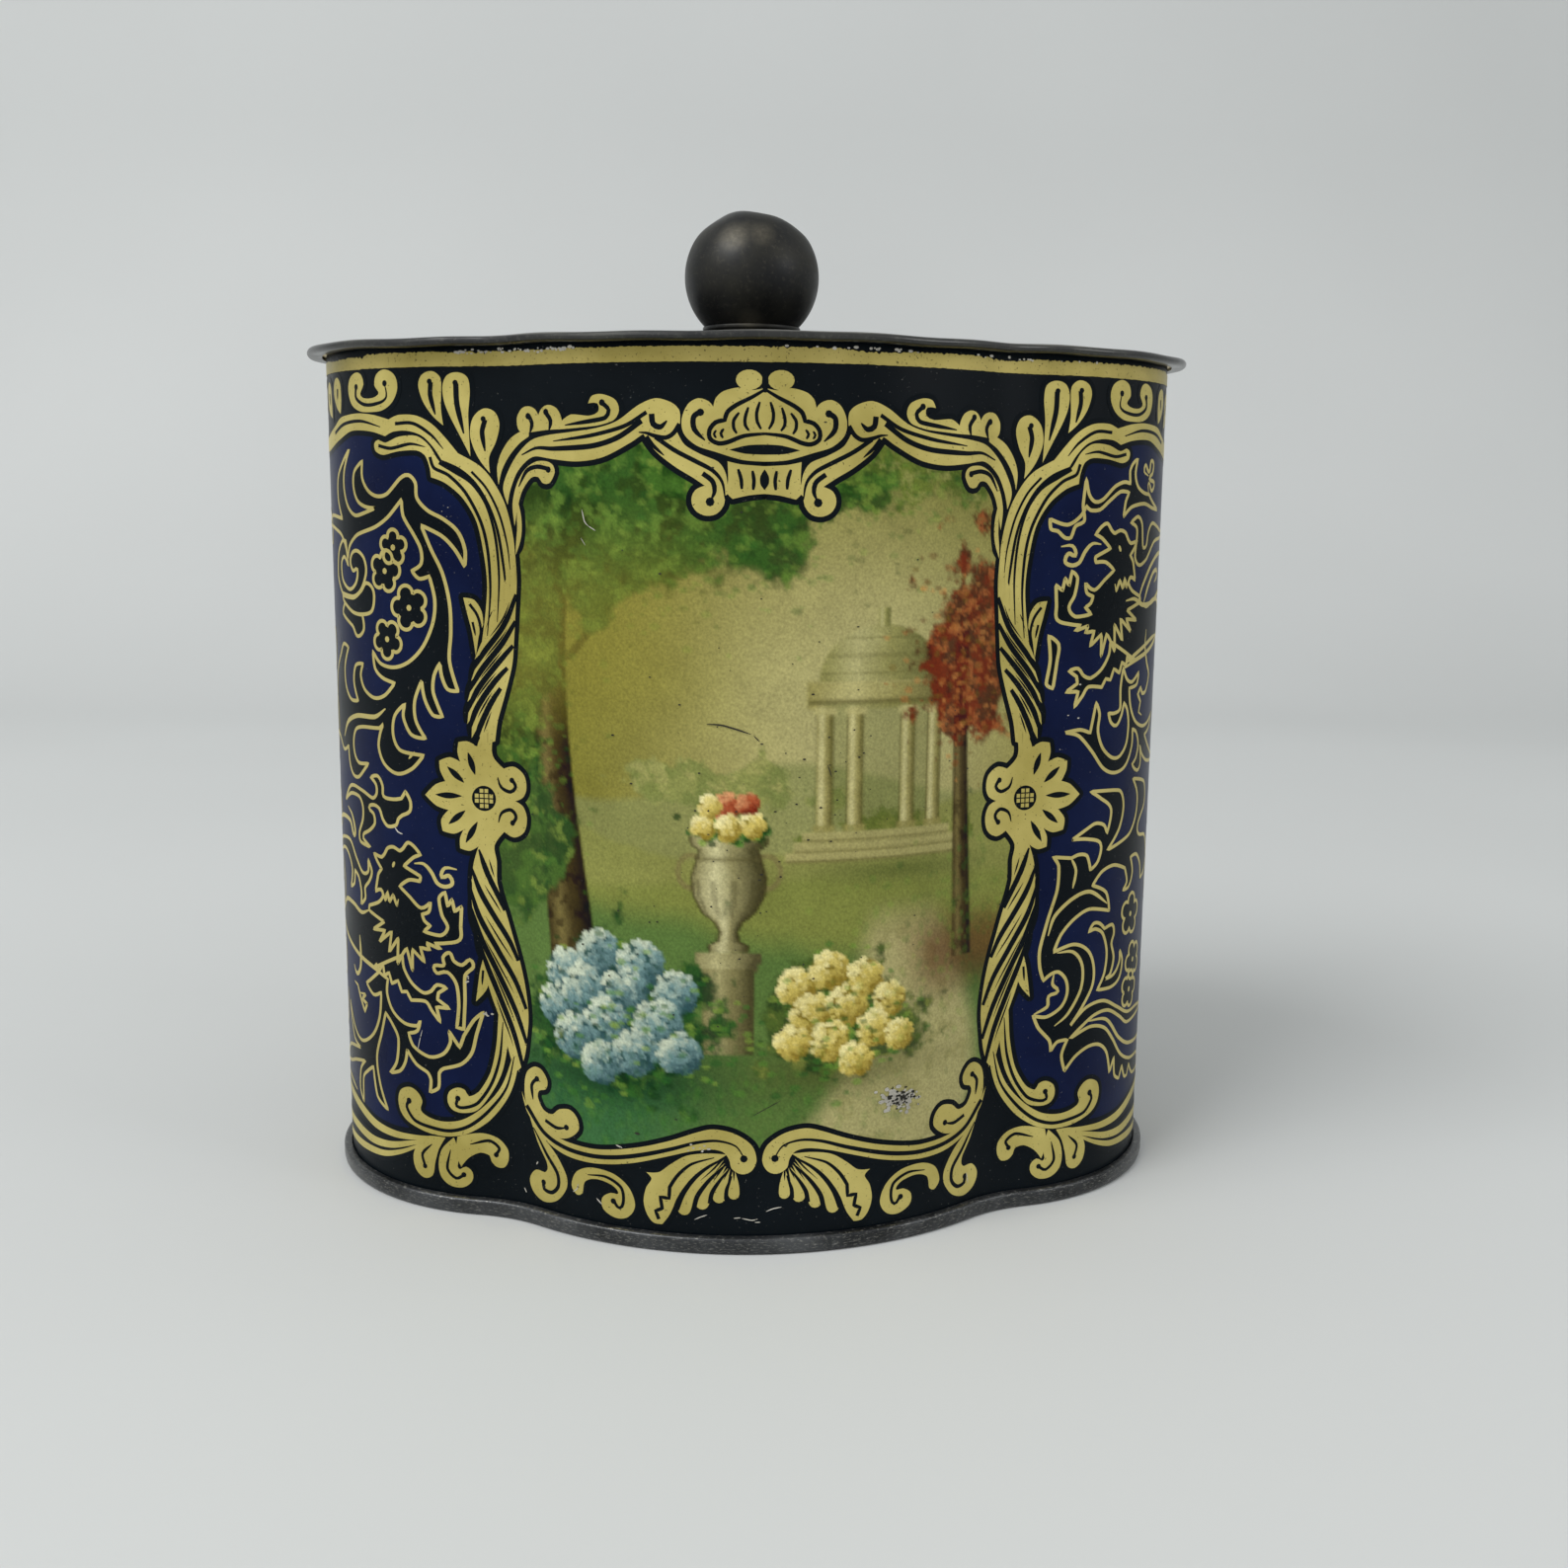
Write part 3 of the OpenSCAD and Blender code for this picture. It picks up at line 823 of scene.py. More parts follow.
def stroke(path, width, start=1.0, end=1.0, taper=0.3, closed=False):
    """A stroke of that width along a path: the path moved to each side along its left normal.
    Over the first and last taper of its length the width eases from the start and end
    fractions up to full."""
    if closed:
        path = np.concatenate([path, path[:1]])
    way = np.gradient(path, axis=0)
    if closed:
        way[0] = way[-1] = way[0] + way[-1]
    way /= np.maximum(np.linalg.norm(way, axis=1), 1e-9)[:, None]
    left = np.stack([-way[:, 1], way[:, 0]], axis=1)
    run = np.concatenate([[0], np.cumsum(np.linalg.norm(np.diff(path, axis=0), axis=1))])
    u = run / run[-1]
    rise = start + (1 - start) * np.sin(np.clip(u / taper, 0, 1) * math.pi / 2)
    drop = end + (1 - end) * np.sin(np.clip((1 - u) / taper, 0, 1) * math.pi / 2)
    half = 0.5 * width * np.minimum(rise, drop)
    across = np.linspace(1, -1, max(2, math.ceil(width / 0.9) + 1))[None, :, None]
    grid = path[:, None] + left[:, None] * (half[:, None, None] * across)
    return grid.reshape(-1, 2), grid_faces(*grid.shape[:2]).tolist()


def dot(centre, radius, stretch=1.0):
    """A round spot: rings of points about its centre, and a fan in the middle."""
    turn = np.linspace(0, 2 * math.pi, max(8, int(radius * 14)), endpoint=False)[None, :]
    ring = np.linspace(1, 0.4, max(1, math.ceil(radius)) + 1)[:, None]
    grid = np.stack([centre[0] + radius * stretch * ring * np.cos(turn),
                     centre[1] + radius * ring * np.sin(turn)], axis=-1)
    rows, cols = grid.shape[:2]
    inner = (rows - 1) * cols + np.arange(cols)
    faces = grid_faces(rows, cols, ring_cols=True).tolist() + [inner.tolist()]
    return grid.reshape(-1, 2), faces


def mirrored(shape, rise=0):
    """The same shape on the other side of the front's middle, higher by rise."""
    return shape[0] * [-1, 1] + [0, rise], shape[1]


print("a dot of 1 mm has", len(dot((0, 0), 1)[0]), "points")

# %% [markdown]
# ## Laying ink on the wall
# A film of ink gathers many flat shapes into one mesh, turns every face outward, bends the
# whole through the wall function and floats it a few hundredths of a millimetre proud, which
# is what baked ink does. Later inks lie a little higher than earlier ones, as on the press.
# The back of the tin carries the same print, half a turn round.

# %% Ink films
HALF_TURN = 2 * QUARTER


def ink_film(name, shapes, lift, finish):
    """Bends flat shapes onto the wall, lift millimetres proud, as one piece for the front and
    one for the back. A face whose corners run clockwise, by the sign of its shoelace area, is
    turned over first."""
    points = np.concatenate([shape[0] for shape in shapes])
    offsets = np.cumsum([0] + [len(shape[0]) for shape in shapes[:-1]])
    faces = []
    for offset, (corners, polygons) in zip(offsets, shapes):
        for polygon in polygons:
            p = corners[polygon]
            q = np.roll(p, -1, axis=0)
            area = float(np.sum(p[:, 0] * q[:, 1] - q[:, 0] * p[:, 1]))
            if abs(area) > 1e-7:
                order = polygon if area > 0 else polygon[::-1]
                faces.append([int(i + offset) for i in order])
    for side, shift in (("front", 0.0), ("back", HALF_TURN)):
        bent = wall_point(points[:, 0] + shift, points[:, 1], lift)
        piece = make_object(f"{name}_{side}", bent, faces, 60)
        piece.data.materials.append(finish)
        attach(piece, "box")
    print(name, len(faces), "faces on each side")


# %% [markdown]
# ## The gold frame
# Front and back carry a picture in a rococo frame: a crowned basket at the top, long arms
# that swell into lobes, twisted columns with a rosette at mid height, and scrolls with a
# shell at the foot. Each end panel has a frame of its own that shares the columns. Every
# piece of gold has a dark keyline round it, and dark veins cut into it. The left half is
# drawn and mirrored, as the engraver did.

# %% Top of the frame
TOP_GOLD = outlines("""
0,120.4! -1.6,120.1 -3.5,120.4 -5.5,119.9 -6.5,119 -6.8,117.9! -7.4,118.6 -8.8,119 -10.2,118.2 -11,116.3
-10.7,114.4 -9,112.9 -6.5,112.1 -3,111.1 0,110.9!;
0,110.3! -3,110.5 -4.9,110.9! -4.8,108.5 -5,106.9 -4.2,106! -2,106.5 0,106.7!;
-16.4,114.6! -14.6,112.2 -12,110.2 -9.6,108.8 -7.9,107.7! -9.2,107.1 -9.7,105.8 -9.2,104.5 -7.9,103.8
-6.4,104 -5.4,105.1 -5.2,106.4! -4.8,106.7! -5.1,109.2 -6.1,110.8 -8.5,111.8 -10.6,113 -11.6,114.6!
-12.8,114 -14.2,114 -15.4,114.7;
-11.2,116.4 -11.5,115 -12.9,114.1 -14.8,114.4 -16.2,114.4 -18,113.3 -22,111.4 -26,110.8 -30,111.1
-33,111.5 -34.6,111 -36.4,109.4 -37.6,107 -38.1,104.9! -38.8,107 -38.2,109 -36.5,111.6 -34,113.6 -31,114.3
-27,114.7 -23,115.2 -20,116.1 -17,118.1 -14.6,119 -12.5,118.5 -11.4,117.6;
-29.8,109.3 -30.1,110.3 -31.1,110.8 -33,110.8 -35,109.8 -36.5,107.8 -37.3,105 -37,102! -36.3,105 -35.5,107
-34,108.6 -32.7,108.7 -31.9,107.9 -30.7,107.9;
-35.6,114.9 -37.5,113.9 -39,112 -39.7,109.9 -39.5,107.6! -38.9,109.7 -37.6,111.7 -35.9,113.3 -34.3,114.2
-34.4,114.8;
-36.2,115.3 -36.3,116.8 -35.4,118 -34.2,118.2 -33.1,117.8 -32.5,117! -32.1,117.7 -31.4,118.2 -30.4,118.3
-29.3,117.8 -28.7,116.9 -28.5,116.2! -27,117 -24.2,116.8 -22.8,117.3 -22.9,118.4 -24.3,118.4! -23.7,119.4
-22.2,119.6 -20.3,118.9 -19.7,117.5 -20.5,116.2 -23,115.5 -28,115.1 -31,115 -34.2,114.7! -35.5,114.7
""")
TOP_DOTS = [((-2.1, 121.4), 1.3, 1.35)]
TOP_VEINS = strokes("""
0.6 -8.4,117.3 -9.4,116.6 -9.3,115 -7.9,113.6; 0.65 -15.1,117 -14.9,115.7 -13.9,115.3 -13,116.1;
0.6 -16.5,116.1 -20,113.9 -24,112.8 -30,112.5 -33,112.6 -35.6,111.7;
0.45 -15.8,117.2 -19,115.4 -24,114.2 -30,113.5; 0.5 -30.9,109.8 -32.9,110.1 -34.8,109.5 -36.2,107.4;
0.55 -34.3,117 -33.7,115.9 -34.1,114.6; 0.55 -31.2,117.3 -30.4,116.2 -30.7,114.9;
0.5 -22.1,118.4 -21.2,117.5 -21.8,116.5 -24,116.1 -28,115.6;
0.5 -14.6,114 -12,112.3 -9.2,110.9 -6.9,109.7 -5.6,108.2 -5.2,106;
0.4 -15.8,114.1 -14.8,112.8 -13.4,111.6; 0.55 -8.2,109.3 -6.9,108.3 -6.6,107 -7.1,105.8;
0.5 -11.3,115.7 -12.1,114.5 -13.2,113.9 -14.6,114.1 -15.8,114.5 -16.9,114.6
""")
BASKET = strokes("""
0.6 0,120.2! -1.7,119.2 -3.7,118.2 -4.9,117.3 -5.3,116.2! -6.5,115.9 -7.3,114.9 -7.2,113.8 -6.1,113.2
-4.8,113.4 -2.7,114.2 0,114.5!; 0.5 0,122.6 -0.2,121 0,119.8;
0.45 -3.4,117.2 -4.1,116.2 -4.1,115.2 -3.7,114.5; 0.45 -2.2,117.9 -2.6,116.6 -2.6,115.6 -2.1,114.9;
0.45 -0.7,118.6 -1.1,117.2 -1,116 -0.5,115.1; 0.4 -5.4,115.1 -5.8,114.5 -5.5,113.9;
0.35 -6.4,114.9 -6.7,114.4 -6.4,113.9; 0.5 -3.5,109.9 -3.1,108.6 -3,107.3;
0.5 -1.6,109.7 -1.4,108.4 -1.5,107.2
""")
VEIN_DOTS = strokes("""
0.5 -8.5,117.2; 0.45 -30.9,109.7; 0.45 -34.4,116.9; 0.45 -31.2,117.4; 0.45 -22.2,118.5; 0.6 -7.2,105.6
""")

print("top of the frame:", len(TOP_GOLD), "outlines and", len(TOP_VEINS), "veins")

# %% Ends of the frame
END_GOLD = outlines("""
-64,123.3 -65.7,122.5 -66.2,120.8 -65.3,118.9 -63.2,117.9 -60.6,117.7 -58,117.9 -56,119 -55,120.9
-55.5,122.7 -57.3,123.5 -59,122.9 -59.5,121.4 -58.7,120.2 -60.7,119.6 -62.8,120.1 -62,121.6 -62.6,123;
-72,120.6 -71.6,122.4 -70.2,122.9 -69,121.9 -68.8,119.6 -69.2,117.7! -70.8,118.7;
-76.4,120 -76.2,121.8 -74.9,122.5 -73.7,121.6 -73.4,119.4 -73.2,117.2! -75.2,118;
-51.4,121.2 -50.8,122.6 -49.2,123.1 -47.9,122.2 -47.8,120.5 -47.9,118 -47.6,115.7! -49.2,117 -50.7,119;
-47.6,121 -46.9,122.5 -45.3,122.9 -43.9,122.2 -43.6,120.2 -43.9,117 -43.7,111.5! -45,114 -46.6,117
-47.4,119;
-43.7,114.6 -43.2,116.8 -41.6,118 -39.9,117.5 -39.2,115.8 -39.8,113.5 -40.9,111.4 -40.8,109.2! -42.2,110.8
-43.2,112.6;
-85.83,114.2! -80,114.3 -76,114.9 -72,116 -69,117.2 -64,117.6 -60,117.3 -56.8,116.6! -55,117.2 -52,117.1
-49.5,116 -47.5,114.2 -45.5,111.9! -42.5,110.3 -40.5,108.3 -38.5,104.9 -37.2,100 -36.9,94.2! -38.4,91.4!
-38.7,96 -39.5,101 -40.9,104.8 -42.9,107.9 -45.3,109.9 -48,111! -49.2,112.7 -51,114.3 -53.5,115 -56,114.9
-57.6,114.3! -60,114.9 -63,115.2 -66,115.1 -70,114 -76,112.6 -85.83,112.2!;
-59.9,113.3 -59,113.8 -57.5,113.4 -55,114.2 -52,114.3 -50,113.1 -48.7,111.2 -47.6,110! -45.2,109.1
-42.8,107 -41,104.1 -39.9,100.6 -38.9,94.5 -38.5,90.3! -39.8,92 -40.4,88! -41,90 -42.6,85.4! -41.9,90
-41.6,94 -42,98 -43,102.5 -45,105.8 -47.5,107.8 -49.7,108.6! -49.9,110 -50.6,111.6 -52,112.3 -55,112.2
-58,111.7 -59.6,112.2
""")
END_DOTS = strokes("""
0.45 -63.9,121.3; 0.45 -57.4,121.6; 0.4 -49.6,121.7; 0.4 -45.7,121.5; 0.4 -41.7,116.6; 0.42 -38.2,66.1;
0.42 -38.2,59.9
""")
print("ends of the frame:", len(END_GOLD), "outlines")

# %% Twisted columns and rosette
COLUMN_RIBBONS = strokes("""
1.35 -43.7,83.2 -41.8,85.9 -39,89.4 -37.2,94; 1.4 -44.3,80.1 -42.2,83.3 -39.1,86.9 -37.3,90;
1.4 -44.9,77.1 -42.9,80.5 -39.9,84 -37.7,86.6; 1.4 -45,73.9 -43.5,77.6 -40.8,81 -38.3,83.2;
1.3 -44.4,71.9 -43.4,74.9 -41.4,78.2 -39.6,80.3; 1.1 -43.1,70.5 -42.6,72.6 -41.5,75.4 -40.4,77.4;
1.1 -42.6,56.5 -41.9,53.5 -40.9,50.4; 1.35 -44.4,54 -42.9,50.5 -40.8,47.2 -38.9,44.2;
1.4 -44.9,51.3 -43.5,47 -40.8,42.6 -38.4,39.3 -37,36.2;
1.4 -45,48.7 -43.7,43.8 -41.2,39.2 -38.5,34.6 -36.6,30.4;
1.35 -44.3,43.8 -42.8,39.8 -40.6,35.2 -38.5,30.5 -37,26;
1.2 -43.4,39.8 -42.3,36 -40.6,31.4 -38.9,27 -37.8,22.6
""")
NECK_RIBBON = strokes("""
0.8 -36.9,98 -36.2,101.5 -36.4,105.5
""")
COLUMN_GOLD = outlines("""
-45.2,91.9! -43.6,91.6 -42.5,90 -42.3,88.1! -43,86.6 -43.5,83.6! -44,87 -44.6,89.4;
-43,84! -41.9,87.6 -40.2,91.4 -38.2,95.4 -37,98! -36.8,94.4 -37.1,90.2 -37.4,86.4 -37.8,82.7 -39,78.6
-40.3,74.6 -40.8,71.6! -42.6,71.4 -44,74 -44.4,77 -44,80.4 -43.3,83;
-43.6,56.4! -44.5,53.6 -44.8,50.6 -44.7,47.6 -44.2,44.4 -43.4,41 -42.4,37.6 -41.4,34 -40.6,30 -39.6,26
-38.6,22.6! -37.5,23.4 -36.7,25.6 -36.3,28.2 -36,30.8 -36.1,33.3 -36.6,36.5 -37.4,39.7 -38.5,43.2
-39.5,46.4 -40.5,49.3 -41.2,52.6 -41.4,55.8!;
-43.2,39.9! -43.9,37.4 -44.6,32.8! -43,34.6 -42,37.2 -42.4,38.4;
-43.6,70.7! -45,71.4 -46.4,71.25! -46.6,69.8 -46.2,68.4! -47.8,69 -49.5,68.4! -49.4,67 -48.6,65.45!
-50.2,64.9 -52,63.25! -50.2,61.8 -48.2,61.25! -49.4,59.8 -49.2,58.1! -47.4,57.8 -45.9,58.5! -46.5,57.2
-46.5,55.7! -45,55.4 -43.6,56.2! -42.6,54 -41,50.5! -40.9,54 -41.2,56.4 -39.6,58.5! -38,57.8 -36.2,58.8
-35.7,60.9 -36.4,62.5 -37.7,63.1! -36.3,63.8 -35.7,65.2 -36.1,67 -37.8,68.1 -39.5,67.7! -41.2,69.4
-41.2,72 -40.5,75.4! -42.2,73.4 -43.3,71.6
""")
COLUMN_VEINS = strokes("""
0.4 -59,113 -56.5,112.6 -53,113.2 -50.6,112.8;
0.4 -49.8,111.4 -49.2,109.9 -47,108.9 -44.6,106.6 -42.4,102.6 -41.4,98.6 -41.1,93 -41.7,86.6;
0.36 -48.4,110.6 -46.2,109.4 -43.6,107.8 -41.5,104.9 -40.2,100.6 -39.7,95 -40.1,88.6;
0.3 -43.6,109.4 -41.4,107.1 -39.5,103.6 -38.3,99.4 -37.9,96; 0.45 -70.2,121.3 -70.3,119.8;
0.45 -74.9,120.8 -74.6,119.2; 0.35 -44.3,91 -43.2,89.5 -42.7,87.6 -43,85.8;
0.4 -72,115 -68,116.2 -63,116.5 -58.5,115.6; 0.4 -55.6,116 -52.4,116 -49.5,114.4 -47.7,112.5;
0.6 -49.4,121.6 -49.5,119.8 -48.8,117.2; 0.65 -45.6,121.4 -45.5,118.6 -44.6,114.6;
0.6 -41.4,116.5 -41.9,114.8 -41.5,112.2;
0.42 -63.9,121.4 -64,119.8 -62,118.8 -59.4,118.8 -57.2,119.6 -57.4,121.6;
0.45 -38.2,66.2 -37.6,65.2 -38.5,64.4 -40,65 -40.5,66.4;
0.45 -38.2,59.8 -37.6,60.9 -38.5,61.8 -40,61.2 -40.5,59.8; 0.3 -43.9,88.5 -43.5,86.6;
0.3 -43.4,37.6 -43.6,35.4
""")
PETAL_SLITS = outlines("""
-45,69.8 -44,66.6; -48.2,67.6 -45.7,65.4; -50.2,63.4 -46.1,63.4; -48.2,59.2 -45.6,61.3;
-45.6,56.6 -43.8,59.7
""")
print("columns:", len(COLUMN_RIBBONS), "ribbons and", len(COLUMN_GOLD), "outlines")

# %% Foot of the frame
FOOT_GOLD = outlines("""
-38,31! -38.8,25.5 -40.8,20.2 -43.8,16.6 -47,14.4 -50,13.7 -52.5,13.9 -54.3,14.8 -54,16.4 -55,17.7
-56.5,18.1 -58.3,17.3 -58.9,15.6 -58.4,13.8 -57,12.6 -54.5,11.8 -52,11.4 -49,11.5 -46,12.4 -42.6,14.8
-39.4,19.2 -37.9,24.5;
-41.4,38! -41,34 -41.2,30 -41.6,26 -42.6,22 -44.4,19 -46,18.1 -46.6,19 -47.8,19.3 -49.2,18.5 -49.5,17
-48.8,15.8 -47.2,15.4 -44.8,16 -42.7,18.5 -40.8,22 -39.8,26 -39.4,30 -40,34;
-48,11.6! -46.5,12.1 -44,12.5 -41.5,11.9 -40,10.4 -39.9,8.7 -40.6,7.5 -41.8,7.4 -42.7,8.2 -43,9.1
-44.5,9.4 -46.3,8.4 -47.5,6.9! -48.3,9;
-48.6,11.4! -50.6,9.4 -51.3,7 -50.9,4.9 -49.3,3.7 -47.2,3.7 -45.8,4.8 -45.7,6.2 -46.7,7 -47.7,6.5
-48.1,6.9 -47.8,9;
-50,11.2! -53,11 -54.8,9.7 -56,7.5 -55.6,5.3 -54,4.2 -52.4,4.9 -51.9,7 -51.2,9.2;
-36.9,21 -36.6,18 -34.5,15.5 -31.5,14.1 -29,14.3 -27.1,15.8 -27.2,17.5 -28.5,18.7 -30.5,18.4 -31.8,17.4
-33.5,17.8 -34.5,19.5 -34.2,20.5 -32.9,21 -32.6,22.3 -33.6,23.7 -35,24 -36.4,23;
-37.4,19.8! -36,17 -33.4,14.9 -29.4,13.8 -25,13.5 -21.5,13.9 -17,14.9 -12.6,16.3 -9,17.7 -6.5,18.3
-3.5,17.7 -1.1,16 -0.4,13.8 -1.1,12.2 -2.5,11.7 -3.9,12.5 -4.3,13.9 -5.2,15 -7,15.3 -10,14.8 -14,13.6
-18,12.4 -22,11.6 -26,11.3 -30,11.8 -33.6,13.5 -36.5,16.8;
-36,16! -33.6,13.6 -31,11.2 -29.3,8.5 -29.3,6.5 -31,4.3 -33.5,3.5 -35.5,4.5 -36.2,6.5 -35.1,8.1 -33.4,8.1
-32.8,8.7 -33,9.9 -34.6,12.4;
-28.4,7.3 -27.5,9.5 -25,10.6 -21.5,10.3 -19,8.6 -18,6 -19,4.1 -21,3.6 -23,4.6 -23.2,6.3 -21.8,7.3
-20.6,7.4 -21.6,8.5 -24,9 -26,8.3 -26.5,6.4 -27.5,6;
-4.6,14.6! -7.3,14.7 -10.3,14.2 -12.6,12.8 -14.4,11.4 -16.3,11.2! -15.5,10.3 -16.3,8.9 -16.7,6.8 -16.2,4.9
-15.2,3.7 -13.9,3.6! -12.9,5 -12.3,6.3 -11.9,7.4 -10.9,9.2 -9.2,11.2 -6.6,13.2
""")
TAILS = strokes("""
1.5 -51,11 -55.5,10.3 -60,9.9 -65,10.2 -71,11.6 -78,12.7 -85.83,13;
1.4 -52,10.6 -56.5,9.2 -61,7.9 -66,7.4 -73,7.8 -85.83,7.6; 1.2 -54,9.6 -58.5,7.4 -63,6 -70,5.4 -85.83,4.6
""")
SHELL = strokes("""
1.9 -5.2,13.9 -6.6,12.3 -8.7,10.2 -10,8.2 -10.7,6.2; 1.9 -4.8,13.2 -6.1,11.2 -7.4,9 -8.1,7.2;
1.8 -4.3,12.5 -5.2,10.4 -5.7,8.2; 1.6 -3.6,12.1 -3.6,10.4 -3.6,8.7
""")
SHELL_GAPS = strokes("""
0.75 -11.8,6 -10.8,8.6 -9.2,10.9 -7.2,12.7 -4.7,14.2; 0.7 -9.3,6.3 -8.8,8.2 -7.5,10.2 -5.9,12 -4.5,13.3;
0.65 -7,7.2 -6.7,8.8 -5.8,10.4 -4.4,12.3; 0.6 -4.7,7.9 -4.6,9.4 -3.9,11.4
""")
FOOT_VEINS = strokes("""
0.45 -56.6,16 -57.1,14.8 -55.5,13 -52,12.4 -49,12.4 -46,13.5 -43,16 -40,20 -38.6,25;
0.42 -47.8,17.6 -48,16.4 -46.6,16.3 -44.6,17.2 -42.4,20.4 -41,24.6 -40.4,30;
0.45 -34.7,22.2 -35.6,21.1 -35.4,18.9; 0.45 -33.1,16.2 -31,15.5 -29.3,15.8;
0.55 -36.6,17.8 -33.6,14.4 -29.6,12.8 -25,12.4 -21,12.8 -17,13.7 -12.6,15 -9,16.2 -6,16.6 -3.4,15.9
-2.2,14.2; 0.5 -33.6,6.5 -33.5,5.5 -32,5.3 -30.8,6.6 -31,8.6 -33,11.1 -35.4,14.6;
0.4 -21.3,6.1 -20.4,5.2 -19.8,6.4 -20.2,8.4 -22.6,9.6 -25.6,9.4;
0.4 -41.9,9.4 -41.4,10.4 -43,11.4 -46,10.6; 0.4 -47.2,5.6 -48.4,5 -49.8,6.4 -49.2,9.4;
0.4 -53.8,6.2 -54.2,8 -52.4,9.8;
0.45 -14.4,4.3 -14.9,5.5! -13.9,6! -14.2,7.7! -12.9,7.6! -12.8,9.3! -11.6,11.2 -9.6,13 -6.4,14.1
""")
FOOT_DOTS = strokes("""
0.5 -56.6,15.9; 0.45 -47.8,17.6; 0.45 -34.6,22.2; 0.45 -29.2,15.9; 0.55 -2.2,14; 0.45 -33.6,6.5;
0.45 -21.4,6.1; 0.42 -41.9,9.3; 0.42 -47.1,5.7; 0.42 -53.8,6.1
""")
FRAME_GOLD = TOP_GOLD + END_GOLD + COLUMN_GOLD + FOOT_GOLD
print("frame drawn:", len(FRAME_GOLD), "outlines a side")

# %% [markdown]
# ## Keylines, gold and veins
# The three inks of the frame come from the same marks. A keyline is a dark stroke a
# millimetre and a half wide centred on each gold edge, with a dot at every corner so that it
# has no gap; the gold lies over its inner half. Veins are fine dark strokes over the gold,
# most of them from a round drop, and the gap between two ribbons is a vein half-way between.

# %% Keylines and gold
KEY = 1.5
gold_paths = [flow(text, closed=True) for text in FRAME_GOLD]
ribbons = [(flow(text), width) for text, width in COLUMN_RIBBONS + NECK_RIBBON]
tails = [(flow(text), width) for text, width in TAILS]
shells = [(flow(text), width) for text, width in SHELL]
corners = [marks(word)[0] for text in FRAME_GOLD for word in text.split() if word.endswith("!")]
key_shapes = [stroke(path, KEY, closed=True) for path in gold_paths]
key_shapes += [stroke(path, width + KEY - 0.2, 0.4, 0.4, 0.2)
               for path, width in ribbons + tails + shells]
key_shapes += [dot(place, 0.5 * KEY) for place in corners]
key_shapes += [dot(centre, radius + 0.9, stretch) for centre, radius, stretch in TOP_DOTS]
gold_shapes = [fill(path) for path in gold_paths]
gold_shapes += [stroke(path, width, 0, 0, 0.4) for path, width in ribbons]
gold_shapes += [stroke(path, width, 0.3, 1, 0.6) for path, width in tails]
gold_shapes += [stroke(path, width, 0.2, 1, 0.9) for path, width in shells]
gold_shapes += [dot(path[-1], width / 2) for path, width in shells]
gold_shapes += [dot(centre, radius, stretch) for centre, radius, stretch in TOP_DOTS]
print("frame:", len(key_shapes), "keyline shapes and", len(gold_shapes), "gold shapes")

# %% Veins


def half_way(first, second):
    """The path half-way between two paths, each walked at 30 even steps, drawn out by a tenth."""
    walks = [path[np.linspace(0, len(path) - 1, 30).round().astype(int)] for path in (first, second)]
    path = 0.5 * (walks[0] + walks[1])
    return path.mean(axis=0) + 1.1 * (path - path.mean(axis=0))


# The press thickens a cut line, so a vein prints wider than it was drawn
VEIN_SWELL = 1.2
vein_shapes = [stroke(flow(text), VEIN_SWELL * width, 1, 0.25, 0.5)
               for text, width in TOP_VEINS + COLUMN_VEINS + FOOT_VEINS]
vein_shapes += [stroke(flow(text), width, 0.6, 0.6, 0.3) for text, width in BASKET]
vein_shapes += [stroke(flow(text), width, 1, 0.3, 0.9) for text, width in SHELL_GAPS]
for group in (ribbons[:6], ribbons[6:12]):
    vein_shapes += [stroke(half_way(first[0], second[0]), 0.85, 0.3, 0.7, 0.35)
                    for first, second in zip(group[:-1], group[1:])]
    vein_shapes += [stroke(path[len(path) // 3:-len(path) // 5], 0.26, 0.1, 0.1, 0.5)
                    for path, width in group]
vein_shapes += [stroke(path[:len(path) // 2], 0.3, 1, 0.1, 1) for path, width in shells]
vein_shapes += [stroke(flow(text), 0.9, 0.1, 0.1, 0.5) for text in PETAL_SLITS]
vein_shapes += [dot(marks(text)[0], radius) for text, radius in VEIN_DOTS + END_DOTS + FOOT_DOTS]
eye = "0,113.1! -2.2,113 -4.7,112.4! -2.6,111.9 0,111.8!"
lens_slit = "0,109.9! -0.55,109 -0.55,108 0,107.2!"
vein_shapes += [fill(flow(eye, closed=True)), fill(flow(lens_slit, closed=True))]
print("veins:", len(vein_shapes), "shapes")

# %% Rosette window and the frame's films
ROSETTE = (-42.7, 63.2)
vein_shapes.append(dot(ROSETTE, 1.85))
pane = 0.28 * np.array([(-1, -1), (1, -1), (1, 1), (-1, 1)])
lattice = [-1.11, -0.37, 0.37, 1.11]
hatch_shapes = [fill(pane + ROSETTE + (i, j)) for i in lattice for j in lattice
                if math.hypot(i, j) < 1.4]


def both_halves(shapes):
    """The shapes and their mirror images."""
    return shapes + [mirrored(shape) for shape in shapes]


ink_film("print_keyline", both_halves(key_shapes), 0.04, ground_ink)
ink_film("print_gold_frame", both_halves(gold_shapes), 0.06, gold_ink)
ink_film("print_veins", both_halves(vein_shapes), 0.08, ground_ink)
ink_film("print_rosette_hatch", both_halves(hatch_shapes), 0.1, gold_ink)

# %% [markdown]
# ## End panels
# Inside its frame each end panel is a deep blue field with line work in gold: heraldic
# griffins and branches of leaves and flowers, set on the diagonal. The forms are filled with
# the dark ground and edged by a gold line of even width, so each is one closed outline used
# twice, once as a fill and once as a stroke.

